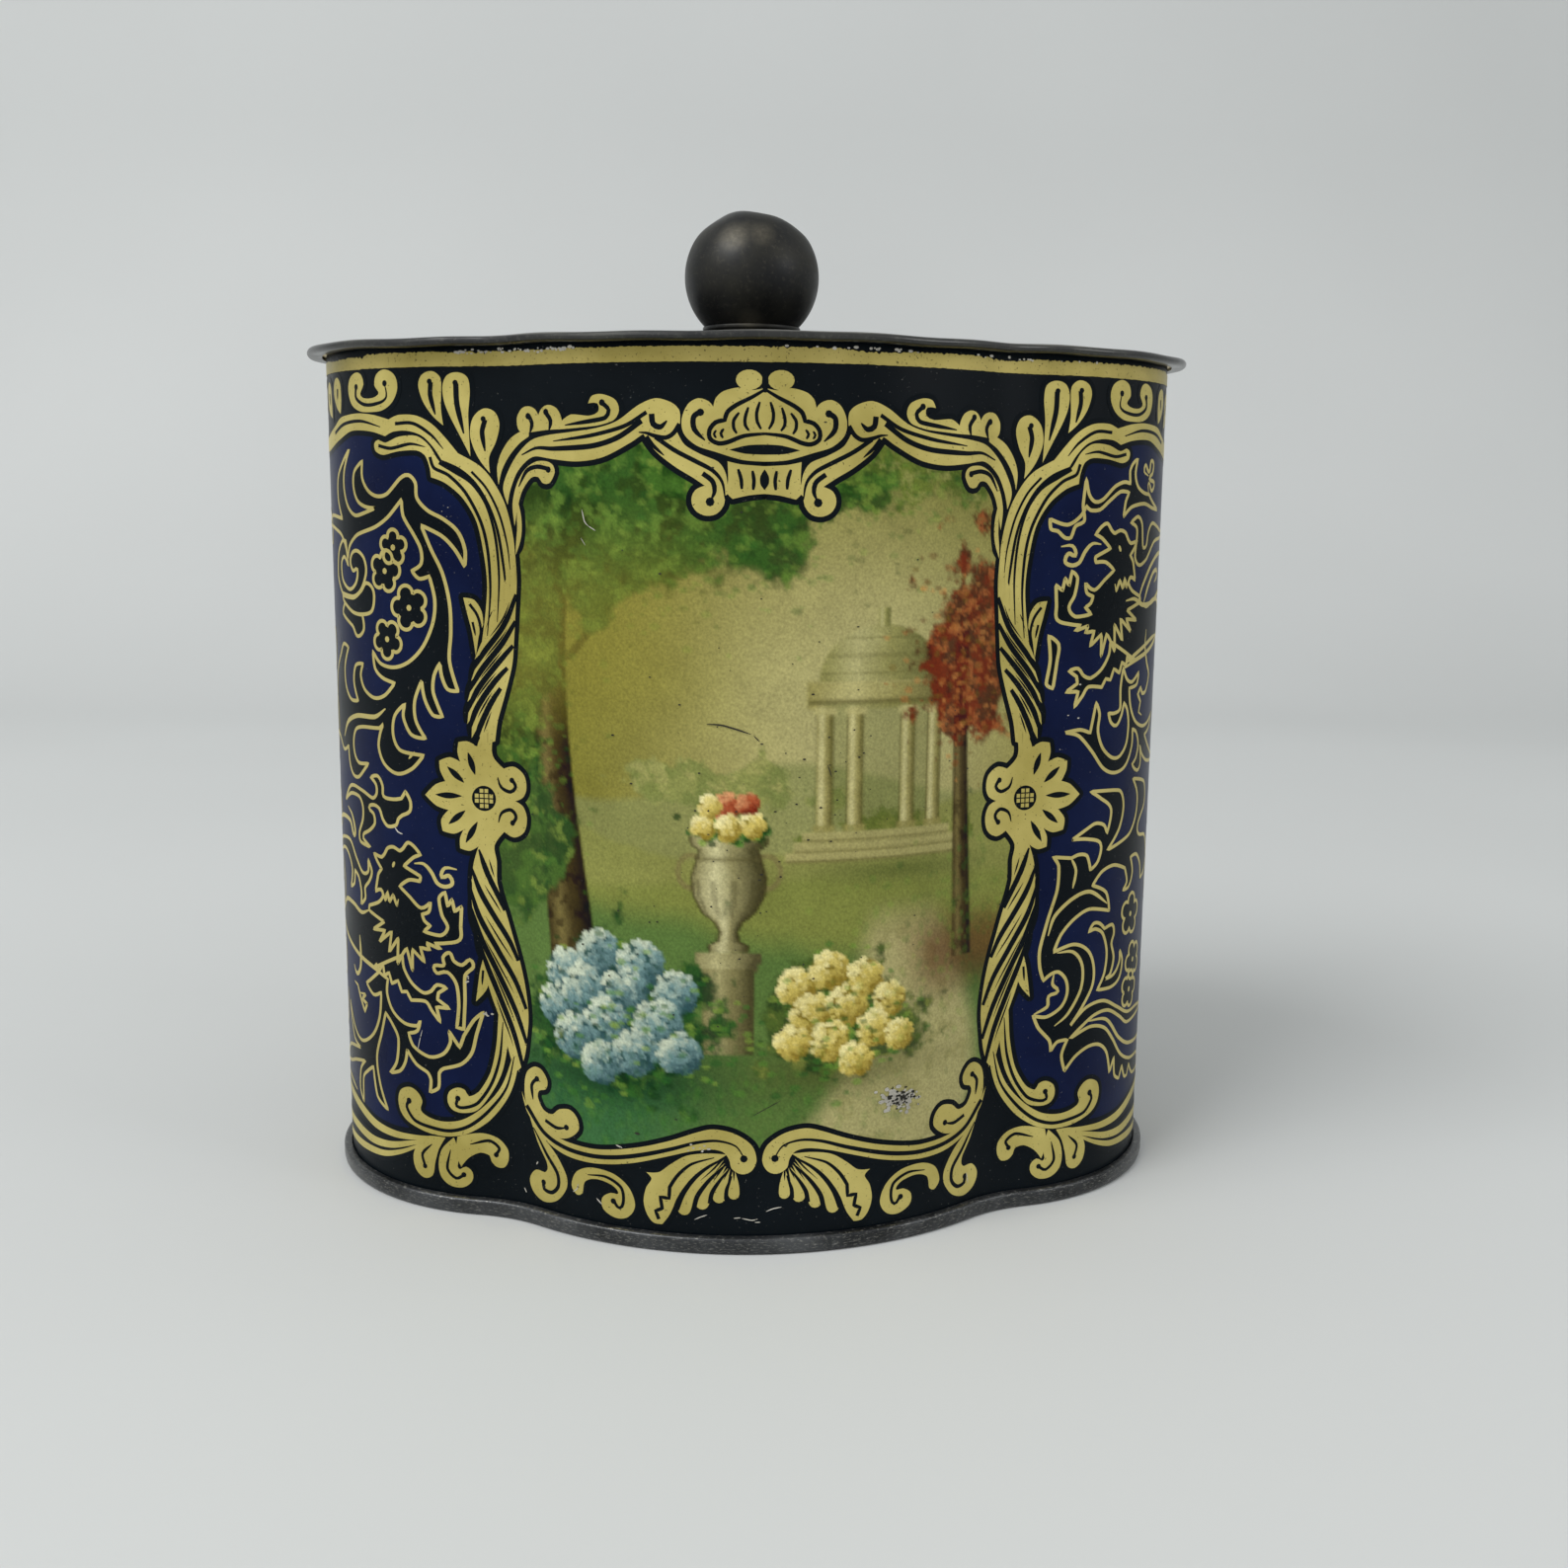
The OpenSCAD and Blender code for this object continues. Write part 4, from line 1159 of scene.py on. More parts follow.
# %% Blue fields
blue_field = flow(
    "-85.83,113.2! -80,113.3 -76,113.9 -70,115.2 -62,116 -52,115.7 -48.6,113 -46,110.9 "
    "-42.6,108.9 -40,105.5 -38.7,100 -38.6,94 -40.5,88 -43,83 -44,76 -43.5,71 -46,67 -48,63.2 "
    "-46,59.5 -43.8,55 -44,49 -42.6,40 -41,34 -40.2,28 -42,20.5 -44.5,15.6 -47,13.6 -52,12.6 "
    "-56,12 -60,9.9 -65,10.2 -71,11.6 -78,12.7 -85.83,13!", closed=True)
blue_shape = fill(blue_field)
ink_film("print_blue_field", [blue_shape, mirrored(blue_shape)], 0.02, blue_ink)

# %% Griffin
GRIFFIN = outlines("""
-53.1,54.2! -54.2,55.3 -55.4,55.8 -56.3,54.9 -57.1,54.4 -58.3,54.8 -59.6,54.5 -60.4,53.5 -61.2,52.9
-63,53.2! -62.3,52.2 -61.2,51.1! -62.1,50.1 -62.9,47.4! -61.5,47.9 -61.1,46.9 -62.3,45.8 -64.8,44.9!
-65,44.1! -61,43! -62.2,42.3 -63.8,41.4! -60.8,41.7! -62.3,39.7! -59.3,41.8! -60,38.5! -57.9,41! -58.2,37!
-56.9,38.9 -56.2,39.7! -55.2,36.4! -55.1,39.7! -52.9,38! -53.6,40.2! -51.9,40! -52.4,41! -50,40.3!
-51,41.1! -49.2,41.3 -46.9,42 -46.7,44.1 -46.5,47! -47.6,46.2! -48,48! -48.7,46.9! -49.1,49! -50.1,48
-49.7,45.5 -48.8,43.7 -50,42.4 -52.9,42.7! -51.7,43.7! -52.7,44.3 -53.1,45.3! -51.9,45.8 -51.6,47.2!
-53.3,46.2 -55.4,47.7 -57.3,49! -55.4,50.2 -53.4,50.2! -53.3,51 -56.3,52.2! -54.4,53.7;
-57.1,38.5! -56.9,36.6 -55.4,34.5 -53.3,33.3 -51.9,33.7 -50.8,34.8 -49.2,34.5! -50.6,33.6! -50.8,32.6!
-48.8,31.4! -51,31.4! -50.4,29.1! -51.8,30.7 -52.9,32 -55.6,31.8! -56.4,33! -57.5,32.8! -58.2,34.4!
-59.6,33.7! -60.2,35.3! -61.3,34.6! -61.6,36.4! -62.5,35.2! -63.3,36! -64,35.3!
""")
GRIFFIN_LINES = strokes("""
0.6 -54.3,52.8 -52.6,52.9 -51.3,51.8 -50.4,50.3 -49.2,49.8 -47.9,50.3 -48.4,51.5 -49.6,51.2 -49,52.6
-47.1,52.5; 0.55 -62.3,48 -61.2,47.6! -60.5,46.4! -60,47.8! -59.6,46.3! -58.7,47.5! -58,45.9! -57.6,47!;
0.7 -65,44.1 -67.5,43.3 -70.8,44.1 -75,43.9 -79.5,40.6!;
0.7 -60.4,34.2 -64,35.3 -68.3,36.2 -72,37.2 -76,38.6 -79.5,40.6!; 0.5 -58.7,51.7 -58.2,52.6
""")
GRIFFIN_LOW = outlines("""
-60.5,34.2! -60.8,32 -59.6,29.5 -57.1,28 -54.6,28 -54,28.9! -54.6,27.2 -56.3,26.6! -55.4,24.7 -52.5,23.5
-50,24.3 -48.8,26.2 -49,27.9! -47.3,25.5! -46.6,27.4! -45,29.9 -43.5,31.2! -44.6,27.8 -45.4,24.9 -47.1,23
-50,22 -50.8,21.2 -51,18.9 -52.5,18! -52.3,19.9 -52.9,21 -55,22 -56.7,23.9! -57.1,22 -58.3,20.3
-60.6,19.5! -59,21.6 -58.5,25.3 -59.8,27.4 -61.3,28.8! -62.5,25.3 -64,21.2 -63.3,17 -61.5,13.4! -64.2,14.9
-65.2,19.3! -67,18.2 -68.8,16.6 -69,12.6! -70.4,14.5 -69.8,17.8 -67.9,19.5! -72,18.6 -76,17.3 -80,16.8!
-76,20 -69.5,21.2! -72.5,22 -74,24.5 -75,27.5! -72.1,23.9 -68.8,22.6 -65,24.5 -62.9,27.8 -62.3,31.8!
-64.4,31 -66.5,32.4! -65,33.3 -62.7,34.9!;
-47.7,28.6! -47.3,32 -47.6,35.2 -49,36.9 -50.8,36.6 -51.2,37.7 -49.6,37.9 -49.7,39.1 -48.6,39.9 -47.9,38.7
-46.6,38.2 -45.4,39.1 -44.9,38 -46.2,36.6 -46.3,32.8 -46.6,28.4!;
-64,60 -62.8,59.2 -62.6,57.8 -64,56.6 -65.8,55.8 -66,55 -64,54! -67,54.4 -67.3,55.8 -66,58 -65.9,60
-67,61.3 -70,61.4 -73,60! -70,62.6 -66,62.4 -63,61.6 -61.9,62.4 -62,63.8 -63.3,64.7! -61.5,65.1 -60.4,63.8
-60.2,62.2 -58,62 -56.4,62.3! -55.6,63.4! -54.7,62 -54.9,60.5 -56.3,59.8 -57.2,59.1 -57.6,58.2 -59.4,57.8
-60.6,58.8 -61.3,60.2 -62.8,60.6;
-75,53.8! -71.3,53.9 -68.8,51.6 -66.7,49.7 -64.9,50.1 -64.8,52! -63.8,50.3 -64.6,48.7 -66,47.4 -66,45.8
-67.5,44.6! -67.3,46.6 -68.1,48.7 -69.6,49.5! -70,47.4 -71.7,46.6! -70.8,49.5 -72.9,51.8 -76,52 -80,50.5!
-78,53
""")
GRIFFIN_LOW_LINES = strokes("""
0.7 -68.5,39.5 -68.3,36.2 -68.7,34.2 -70.2,33 -71.5,34.2;
0.6 -71.5,31.5 -70,31.2! -69,29.6! -67.5,27.6! -66.6,29! -68.3,29.4! -67,30.4! -69,30.2!;
0.7 -71.9,59.1 -69.8,57.8 -69.2,55 -71,57 -75,57.2 -80,56; 0.7 -72,13.6 -76,14.6 -81,14.8 -85.83,14.6
""")
BODY_FILLS = outlines("""
-64.8,44.5 -67.5,43.3 -70.8,44.1 -75,43.9 -79.5,40.6! -76,38.6 -72,37.2 -68.3,36.2 -60.4,34.2 -57,36.5
-58,40 -61,43
""")

print("griffin:", len(GRIFFIN + GRIFFIN_LOW), "outlines")

# %% Branch of flowers
BRANCH = outlines("""
-62.9,110.9! -63.1,108.6 -61.7,106.7 -59.6,105.9 -57.5,106.3 -55,108.4 -53.5,108.9 -52.3,107.8 -52.1,105.7
-50.4,104 -47.9,102.8 -45.8,101.1 -44.8,98.6 -44.9,96.3! -46.3,98.6 -48.3,100.5 -51.5,101.9! -50,98.6
-48.3,95.3 -47.3,91.1 -47.2,86.9 -47.5,82.8 -46.3,78.6! -47.9,78.8 -48.8,80.7 -49,82.5! -50,80.7
-50.2,78.2 -48.8,74.8! -50.4,75 -51.7,77.3 -52.1,79.8! -53.4,76.9 -53.3,74 -51.7,71.5! -54.2,71.9
-55.6,74.4 -55.2,76.3! -57.3,74.4 -57.7,71.5 -56.3,69.4 -52.1,69! -54.2,66.9 -57.1,65.9 -59.8,67.1
-61,69.4 -60.6,71.5 -59.8,73! -60.8,72.3 -65,72.1 -67.3,71.5 -68.3,69.8 -68.1,67.8 -66.7,66.5 -63.8,66.7!
-66.7,64.4 -68.8,64.4 -70.2,66.1 -70.6,68.6! -73,67.8 -76,69.6 -80,70! -78,75 -76,79.5 -73.1,82.3 -71.3,84
-69.2,83.6! -71,80.7 -70.8,77.8 -68.8,75.9 -66.3,75.9! -67.5,78.6 -66.7,81.1 -64.4,81.5! -65.2,79.8
-64.2,77.8 -61.7,76.7 -59.2,77.3 -57.1,79.2! -59.6,79.8 -61.3,81.1 -61.7,83.6! -60,81.9 -57.1,81.5
-54.2,82.5 -51.7,84.8 -50,88.2 -49.6,91.5 -50.4,94.8! -52.1,94.4 -53.3,95.5! -51.7,96.5 -51.7,98.6
-52.9,100.7 -54.6,103.2 -54.8,105.5! -57.5,103 -60.4,101.5 -65,100.3 -67.5,98.6 -68.3,96.5! -69,98.6
-71,100.4 -76,101.4 -80,101.5! -76,103 -70,102.6! -71.6,105.4 -71.4,108.4 -69.4,110.5 -66.6,112.6!
-68.6,109.5 -68.8,106.8 -67.5,104.3 -65,103.1 -60.2,104.2! -62.5,104.4 -64.6,105.3 -65.6,107.3
-65.2,109.4;
-71,91.3! -66.7,91.1 -64.2,92.3 -63,93.4 -61.5,92.9 -61,91.5 -61.7,89.4 -64.2,88.8 -67.1,89 -70.4,90.4;
-70,90.2! -67.1,89 -64.2,88.7! -63.9,86.6 -65.8,85.5 -67.3,86.9 -71,88.6;
-65.2,95.3 -66.6,95.1 -67.4,96.4 -66.6,97.7 -65,98 -63.3,97 -62.8,95 -64.2,92.5 -66.7,91.3 -71,91.6!
-73,94 -72.4,97.4 -70.4,99.3 -68.8,99.3! -68.2,95.7! -69.6,97 -71,96 -70.6,93.6 -68,92.3 -65.8,93.3
""")
BRANCH_LINES = strokes("""
0.7 -59.2,75.3 -61.7,73.9 -66.7,73.6 -70.4,72.3 -72.6,69.8; 0.4 -53.7,69.4 -54.8,68.3
""")
# Each bloom's s, z, size and turn
BLOOMS = [(-56.7, 98.7, 2.2, 0.3), (-58.5, 95.3, 2.6, 0.1), (-54, 90.2, 2.8, 0.6),
          (-58.4, 85.5, 2.5, 0.9)]
print("branch:", len(BRANCH), "outlines and", len(BLOOMS), "blooms")

# %% Leaves of the right-hand panel
VINE = outlines("""
51,109.4! 51.6,107.2 52.8,106.1 54.4,106.5 56.7,108.3 58.8,109 60.4,108.8! 60.2,110.6 61,111.8 62.2,112.4!
61.7,110.2 62.6,108.4 64.6,107.5 66.5,107.3! 68.2,106.2 71,105! 68,105.3 64.8,105.9 61,105.4 59,104!
59.4,106.2 60.2,107.5! 58,107.6 55.6,106.2 53.8,105 52,104.9 51.2,105.5! 50.2,104 48,102.8 45.2,103.6!
45.4,102.2 46.5,101.9 47.6,101 48.7,101 49.4,102.6 50.9,103.4 50.6,105.6;
61,103.1! 63,104 64.4,103 64.8,101 65.2,99.4 66.4,99.8 67,101.8 68.6,103 71.5,102.5 75,101.8 80,102!
75,100.8 70,100.2 66.5,97.6 64,96.8 62.6,98 62.9,100.8 62.7,102.4;
54.6,76.8! 55.4,75 55.2,72.4 56.4,69.8 58.6,68.2 60.6,68.2 62.4,70 62.8,73 62.2,75.2 61.2,76.3! 60.6,74.4
59.4,73 58,73.6 57.4,75! 58.8,74.9 60.2,75.5 60.1,78.6 60.6,81.6! 61.8,79.8 63.4,79.3 65.6,80.6! 65,78.8
62.6,78.4! 63.2,75.6 65,73.2 68,72.1 71,72.4 74,73.6! 72,71.4 69.5,70.6! 72,68.6 76,66.8 80,66.4! 75,65.9
71,66.4 68.6,67.6 67.4,69.2! 68,66.6 67.2,65.4 65.8,65.6 64.6,66.5! 66,67.5 66.6,69.5 65.6,71.4 64.2,72!
64.2,69.4 62.4,66.6 59.4,65.8 56.6,66.8 54,69.6 51.4,72 49,72.6! 51.6,72.9 53.6,72.3!;
45.6,86.9! 47.3,85.6 47.1,83 46.6,79.2! 45.5,79.9 46,83.4;
47.7,54! 48.7,52.6 48.6,49 47.2,44.6 46,40 46.1,37.2 46.8,35.1! 48,36 49.4,36.2 50.8,34.8 51.1,32.6
50,30.6 47.5,29.4 45.3,29.8! 46.2,27.8 48.2,25.6 48.5,23.9! 49.6,25.2 51.5,25.3! 50.5,23 51.2,20.4!
53.2,22.4 56,23.5 58.6,23.2 60.6,21.4 61.6,18! 62.8,20.2! 63.2,17.2 64.8,16.2! 65.8,18! 67,15.9 68.2,15.8!
69,17.4! 71,15.4 74,15! 78,14.8! 75,17.6 69,18.4 65,20.2 62,23.5 59.5,25.8 56,26.6 52,25.4! 54,26.8
57,28.3 60.4,28.4 64,26.6 67,24.9 72,25 78,25.4! 72,26.4 67,26.6 63,28.4 59,30.2 55,29.8 52,27.5! 54,29.8
56.2,33 56.4,36 55,38.8 52,40.2 48.4,39.4! 49.6,42 52,44.2 55,45.3 59.6,44.4! 58.6,47.4 55.4,48.9!
57.4,50.8 60.4,51.4 63.7,50.4! 64.6,48.2 63.4,47! 65.4,47.2 66.6,49.4 65.6,51.8! 68,51.9 70.2,50
70.8,47.6! 73,48 76,50! 73,54 68,55.8 71.4,59.6 70.6,63 65.2,64.2! 67.2,61.6 67,58.4 64.6,55.6 58.5,54!
61.4,57 62.4,60.4 61,62.9 54.2,63.4! 56.4,62.2 59,60.2 58.2,56.6! 57.4,58 55.2,58.4 51,56.4! 54,56.2
56.8,55.2 56.4,52.6 54.8,51.4! 54,53.6 52.4,54 51,53.6!;
55,41.7! 56,42.9 57.4,42.7 58.6,41.7! 60.6,42 61.2,40.6 60.6,39 61.4,36.6 60.6,34.2 59.2,33.6! 61.6,33.9
63.2,35.6 63.2,37.4! 64.2,35.6 63.4,33 61,32 57.4,32.2! 59,34.6 59.4,38 58.2,41 56.4,42
""")
VINE_LINES = strokes("""
0.7 64.2,91.2 65.5,93.6 68.5,96.4 72,98 76,98.4 80,97.8 81.8,97;
0.7 66.3,91.1 68,93.6 70.6,95.6 73.4,95.4 71.4,94;
0.7 60.5,91.6 63,91.8 66,90.8 70,91 75,92.2 78,92.4 80.4,91.8;
0.6 47.3,42 48.4,45 51.6,47.4 55,48 59,45.6; 0.55 49,39.2 52,39 53.9,36.6 53.8,33 51.4,29.4 49,27.8;
0.5 50.9,53.6 51.9,51.6 51.4,48.9; 0.55 48.6,36 48.4,34.4 49.4,33.2 47.8,32.6 47.6,31 45.4,30;
0.6 55.2,27.6 60,27 64,23.2 68,21.2 75,20.4 82,21;
0.6 66,110 64.4,110.6 64.8,111.6 66.2,110.6 66.8,112.2 68,111.8 67.6,110.4 66.4,109.6 68.6,109 67.6,107.8
66.2,109 66.3,107.4; 0.65 60.6,82 64,83.4 67.8,84.6 71,85.4 75,85.8;
0.6 68,87 67.8,84.4 69,81.8 70.4,79.8 69,77.4 67.4,77.2! 66.6,78.2! 65.6,77.2! 66.8,76! 66.2,74.4!
67.6,73.8!
""")
RIGHT_BLOOMS = [(66.6, 42.6, 2.9, 0.2), (68.6, 34.8, 2.7, 0.7), (67.4, 30.2, 2.6, 0.1)]
print("right-hand panel:", len(VINE), "outlines")

# %% Wings and centre of the end panels
CENTRE = outlines("""
-85.83,18.4! -83,18.6 -80.8,20.2! -82.4,21.8 -84.2,23 -84.9,25.6 -84.4,28.6 -85.83,30.6!;
-85.83,32.4! -84,33 -82.4,35.4 -82.6,38 -84.2,40 -85.83,40.8!;
-85.83,43.4! -84,44.4 -82.4,47.6 -81.6,51 -80.9,55.6! -82.6,54.6 -83.6,53! -84,57 -84.8,60 -85.83,62!;
-85.83,64.4! -84.2,65 -82.2,67.8 -81.2,71.6 -81.8,75.6 -83.4,78.8 -83.4,81 -82,83! -84,84 -85.83,84.2!;
-85.83,86.2! -84,87.2 -82.4,90 -81,94.4! -82.6,93.8 -83.6,92.8! -83.2,96.6 -82.6,100.4! -84,98.8
-84.6,97.4! -84.8,102 -85.83,106.4!
""")
CENTRE_LINES = strokes("""
1.1 -78.2,118.2 -79.6,120.2 -79.4,122.2 -80.9,122.8 -82,121.6 -81.2,120.4;
1.4 -85.83,123 -84.6,121 -84.4,117.6;
0.5 -83.6,60.2 -80.4,61.6 -77.8,60.2 -76.8,57.2 -78,55.2 -79.8,55.6 -79.6,57.4;
0.5 -83.2,80.2 -80.4,79.4 -77.8,80.8 -76.8,83.8 -78,85.8 -79.8,85.4 -79.6,83.6;
0.5 -83.6,31.4 -80.6,30.4 -78,31.8 -77,34.8 -78.2,36.8 -80,36.4 -79.8,34.6;
0.5 -83.4,102.4 -80.8,104 -78,103.4 -76.4,101.2 -77.2,99 -79,99.2 -79,101;
0.5 -83.2,64.2 -79.6,66.2 -77,69.8 -76.8,74 -78.4,76.6;
0.5 -83.6,43 -80,42.2 -77,43.8 -75.8,47 -76.6,50.4; 0.4 -80.2,69.8 -78.8,72.4 -79.6,75.4;
0.4 -79.8,45.4 -78.2,47.2 -78.4,50; 0.5 -83,21.4 -79.4,22.6 -76.8,25.6 -76.4,29.2;
0.45 -84.7,66.6 -83.2,71.6 -84.6,77.4; 0.45 -85,88.4 -83.6,91 -85.1,97; 0.45 -84.8,46 -83.4,50 -85,55.6
""")
print("line work:", len(GRIFFIN + GRIFFIN_LOW + BRANCH + VINE + CENTRE), "outlines")

# %% Helpers for line work
LINE = 0.54


def bloom(s, z, size, turn):
    """A flower outline of five round petals: the radius at angle a is size times
    0.66 + 0.5 times the square root of |cos 2.5a|."""
    a = np.linspace(0, 2 * math.pi, 100, endpoint=False)
    radius = size * (0.66 + 0.5 * np.sqrt(np.abs(np.cos(2.5 * (a - turn)))))
    return np.stack([s + radius * np.cos(a), z + radius * np.sin(a)], axis=1)


def edged(paths, width=LINE):
    """Fills and edge strokes of closed paths."""
    return [fill(path) for path in paths], [stroke(path, width, closed=True) for path in paths]


def line_work(rows):
    """Strokes for rows of marks and width, pointed at both ends."""
    return [stroke(flow(text), width, 0.3, 0.3, 0.25) for text, width in rows]


print("line work is drawn", LINE, "mm wide")

# %% Line work films
# The right-hand panel's griffin is the left one's mirror image, raised
RAISE = 47.2
griffin_fills, griffin_edges = edged([flow(text, closed=True) for text in GRIFFIN])
griffin_lines = griffin_edges + line_work(GRIFFIN_LINES)
left_paths = [flow(text, closed=True) for text in GRIFFIN_LOW + BRANCH]
left_blooms = [bloom(*row) for row in BLOOMS]
right_paths = [flow(text, closed=True) for text in VINE]
right_blooms = [bloom(*row) for row in RIGHT_BLOOMS]
centre_fills = [fill(flow(text)) for text in CENTRE]
centre_edges = [stroke(flow(text), LINE) for text in CENTRE]
left_fills, left_edges = edged(left_paths + left_blooms)
right_fills, right_edges = edged(right_paths + right_blooms)
body_fills = [fill(flow(text, closed=True)) for text in BODY_FILLS]
centre_lines = centre_edges + line_work(CENTRE_LINES)
dark = left_fills + right_fills + griffin_fills + body_fills
dark += [mirrored(shape, RAISE) for shape in griffin_fills + body_fills]
dark += both_halves(centre_fills)
bright = left_edges + right_edges + line_work(BRANCH_LINES + GRIFFIN_LOW_LINES + VINE_LINES)
bright += griffin_lines + [mirrored(shape, RAISE) for shape in griffin_lines]
bright += both_halves(centre_lines)
bright += [dot((s, z), 0.45) for s, z, _, _ in BLOOMS + RIGHT_BLOOMS]
ink_film("print_line_fills", dark, 0.03, ground_ink)
ink_film("print_line_gold", bright, 0.05, line_ink)

# %% [markdown]
# ## Gold band and wear
# A band of gold runs right round under the lid. The lid has rubbed it for years, so its upper
# edge is ragged, the lacquer is pitted and here and there bare tin shows. Knocks and keys have
# left their marks elsewhere too: a rubbed spot at the picture's lower right, hair scratches
# and a few flakes. Each is a small shape of worn tin on top of the print.

# %% Gold band under the lid
BAND_STEPS = 1712
BAND_TOP = 125.75
BAND_LOW = 123.7
rng = np.random.default_rng(12)
band_s = np.linspace(-2 * QUARTER, 2 * QUARTER, BAND_STEPS)
rough_edge = np.convolve(rng.standard_normal(BAND_STEPS), np.ones(3) / 3, mode="same")
slow_edge = np.convolve(rng.standard_normal(BAND_STEPS), np.hanning(60), mode="same")
band_top = BAND_TOP - 0.2 * np.abs(rough_edge) - 0.06 * np.clip(slow_edge - 2, 0, 9)
band_z = np.stack([band_top, 0.5 * (band_top + BAND_LOW), BAND_LOW + 0.03 * rough_edge])
band_points = wall_point(band_s + 0 * band_z, band_z, 0.06)
gold_band = make_object("print_gold_band", band_points.reshape(-1, 3),
                        grid_faces(*band_z.shape).tolist())
gold_band.data.materials.append(band_ink)
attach(gold_band, "box")
print("gold band:", len(gold_band.data.polygons), "faces")

# %% Wear marks


def flakes(centre, spread, count, size):
    """Small many-sided flakes strewn about a centre, thinning outward, each stretched level."""
    places = rng.normal(centre, spread, (count, 2))
    return [dot(place, radius, stretch) for place, radius, stretch
            in zip(places.tolist(), rng.uniform(0.4, 1, count) * size, rng.uniform(1, 2.2, count))]


# Centre, spread, count and size of the flakes in each rubbed place
RUBS = [((-33, 125.7), (4, 0.14), 34, 0.24), ((-44, 125.65), (3, 0.12), 14, 0.2),
        ((14, 125.7), (5, 0.12), 16, 0.2), ((40, 125.65), (6, 0.12), 12, 0.2),
        ((21, 21.2), (1.3, 0.7), 130, 0.32), ((-8.5, 15.4), (0.9, 0.25), 9, 0.16),
        ((-42.6, 31), (0.3, 0.15), 5, 0.18), ((-45.9, 36), (0.15, 0.4), 4, 0.18),
        ((-47.5, 104.5), (0.5, 0.8), 3, 0.12), ((52, 84), (3, 6), 5, 0.12)]
HAIRS = strokes("""
0.15 -9.2,4.7 -8.4,5.1 -7.4,5.5; 0.13 -3.6,5.1 -2.6,5.2; 0.15 -2.4,5.1 -1,4.8 -0.2,5;
0.14 1,6.1 2,6.5 3.2,6.7; 0.13 -0.6,4.5 0.2,4.5; 0.2 -24.1,6.1 -23.2,5.3; 0.2 -34.9,9 -34.6,9.5;
0.16 -27.2,7.7 -27.4,6.9 -28.1,6.3; 0.22 -20.9,14.7 -19.9,14.4; 0.2 -57.9,57.9 -57.2,57.2 -56.3,57;
0.12 -53.6,27.5 -54.2,25.6 -54.6,24; 0.16 -25.4,104.4 -25,102.8 -24.4,102.2; 0.12 -24.4,102.2 -23.3,101.6;
0.1 -25.6,100.6 -24.9,99.6; 0.16 -37.2,4.9 -36.8,4.2; 0.14 33.9,7 34.3,5.2
""")
DARK_MARKS = strokes("""
0.22 -7.6,75.9 -5.6,75.8 -3.4,75.2 -1.6,74.6; 0.14 -1.2,74.4 -0.4,73.6; 0.3 -18,16.9 -17.2,16.8;
0.12 9,70.3 9.6,68.6; 0.1 -1,20.4 3,22.6
""")
worn_shapes = [flake for row in RUBS for flake in flakes(*row)]
worn_shapes += [stroke(flow(text), width, 0.3, 0.3, 0.3) for text, width in HAIRS]
dark_shapes = [stroke(flow(text), width, 0.3, 0.3, 0.3) for text, width in DARK_MARKS]
dark_shapes += flakes((21, 21.2), (1.1, 0.6), 50, 0.2)
dark_shapes += flakes((2, 62), (16, 22), 110, 0.13)
ink_film("wear_bare_tin", worn_shapes, 0.12, worn_tin)
ink_film("wear_dark_marks", dark_shapes, 0.14, scratch_dark)

# %% [markdown]
# ## The picture
# The panels carry a printed painting: a park with a round temple, a stone vase and flower
# beds, in olive greens and pale gold. It is painted here in code, on a grid fine enough for
# the print's softness, and kept as a colour at every point of the mesh. Washes cover large
# areas; leaves, petals and grass are many small dabs, the way a scene painter works.

# %% A canvas of points
CANVAS_STEP = 0.32
canvas_s = np.arange(-42, 42.01, CANVAS_STEP)
canvas_z = np.arange(116.4, 10.9, -CANVAS_STEP)
S, Z = np.meshgrid(canvas_s, canvas_z)
canvas = np.zeros((*S.shape, 3))
brush = np.random.default_rng(7)


def rgb(code):
    """An sRGB hex code as three linear numbers. Colours that are numbers already pass through."""
    return np.array(ink(code)[:3]) if isinstance(code, str) else code


def smooth(value, low, high):
    """0 below low, 1 above high, and the smooth step 3t^2 - 2t^3 between."""
    t = np.clip((value - low) / (high - low), 0, 1)
    return t * t * (3 - 2 * t)


def cloud(size, seed, octaves=4):
    """Soft noise between 0 and 1. Each octave is a lattice of random numbers, mixed between
    its four corners with the smooth step; its size halves and its weight falls."""
    table = np.random.default_rng(seed).random((97, 97))
    total, weight = 0, 0
    for k in range(octaves):
        u, v = (S + 60) * 2**k / size, Z * 2**k / size
        i, j = np.floor(u).astype(int), np.floor(v).astype(int)
        fu, fv = smooth(u - i, 0, 1), smooth(v - j, 0, 1)
        a, b = table[i % 97, j % 97], table[(i + 1) % 97, j % 97]
        c, d = table[i % 97, (j + 1) % 97], table[(i + 1) % 97, (j + 1) % 97]
        total = total + 0.6**k * ((a * (1 - fu) + b * fu) * (1 - fv) + (c * (1 - fu) + d * fu) * fv)
        weight += 0.6**k
    return total / weight


print("canvas:", *S.shape, "points")

# %% Masks and washes


def mound(s, z, wide, tall):
    """A soft mound: exp(-((S - s) / wide)^2 - ((Z - z) / tall)^2)."""
    return np.exp(-((S - s) / wide) ** 2 - ((Z - z) / tall) ** 2)


def bar(s, z, half_wide, half_tall, soft=0.5):
    """A soft-edged upright box: 1 inside, 0 outside."""
    across = smooth(half_wide - np.abs(S - s), -soft, soft)
    return across * smooth(half_tall - np.abs(Z - z), -soft, soft)


def wash(mask, code):
    """Mixes a colour into the canvas where the mask is above 0."""
    m = np.clip(mask, 0, 1)[..., None]
    canvas[:] = canvas * (1 - m) + rgb(code) * m


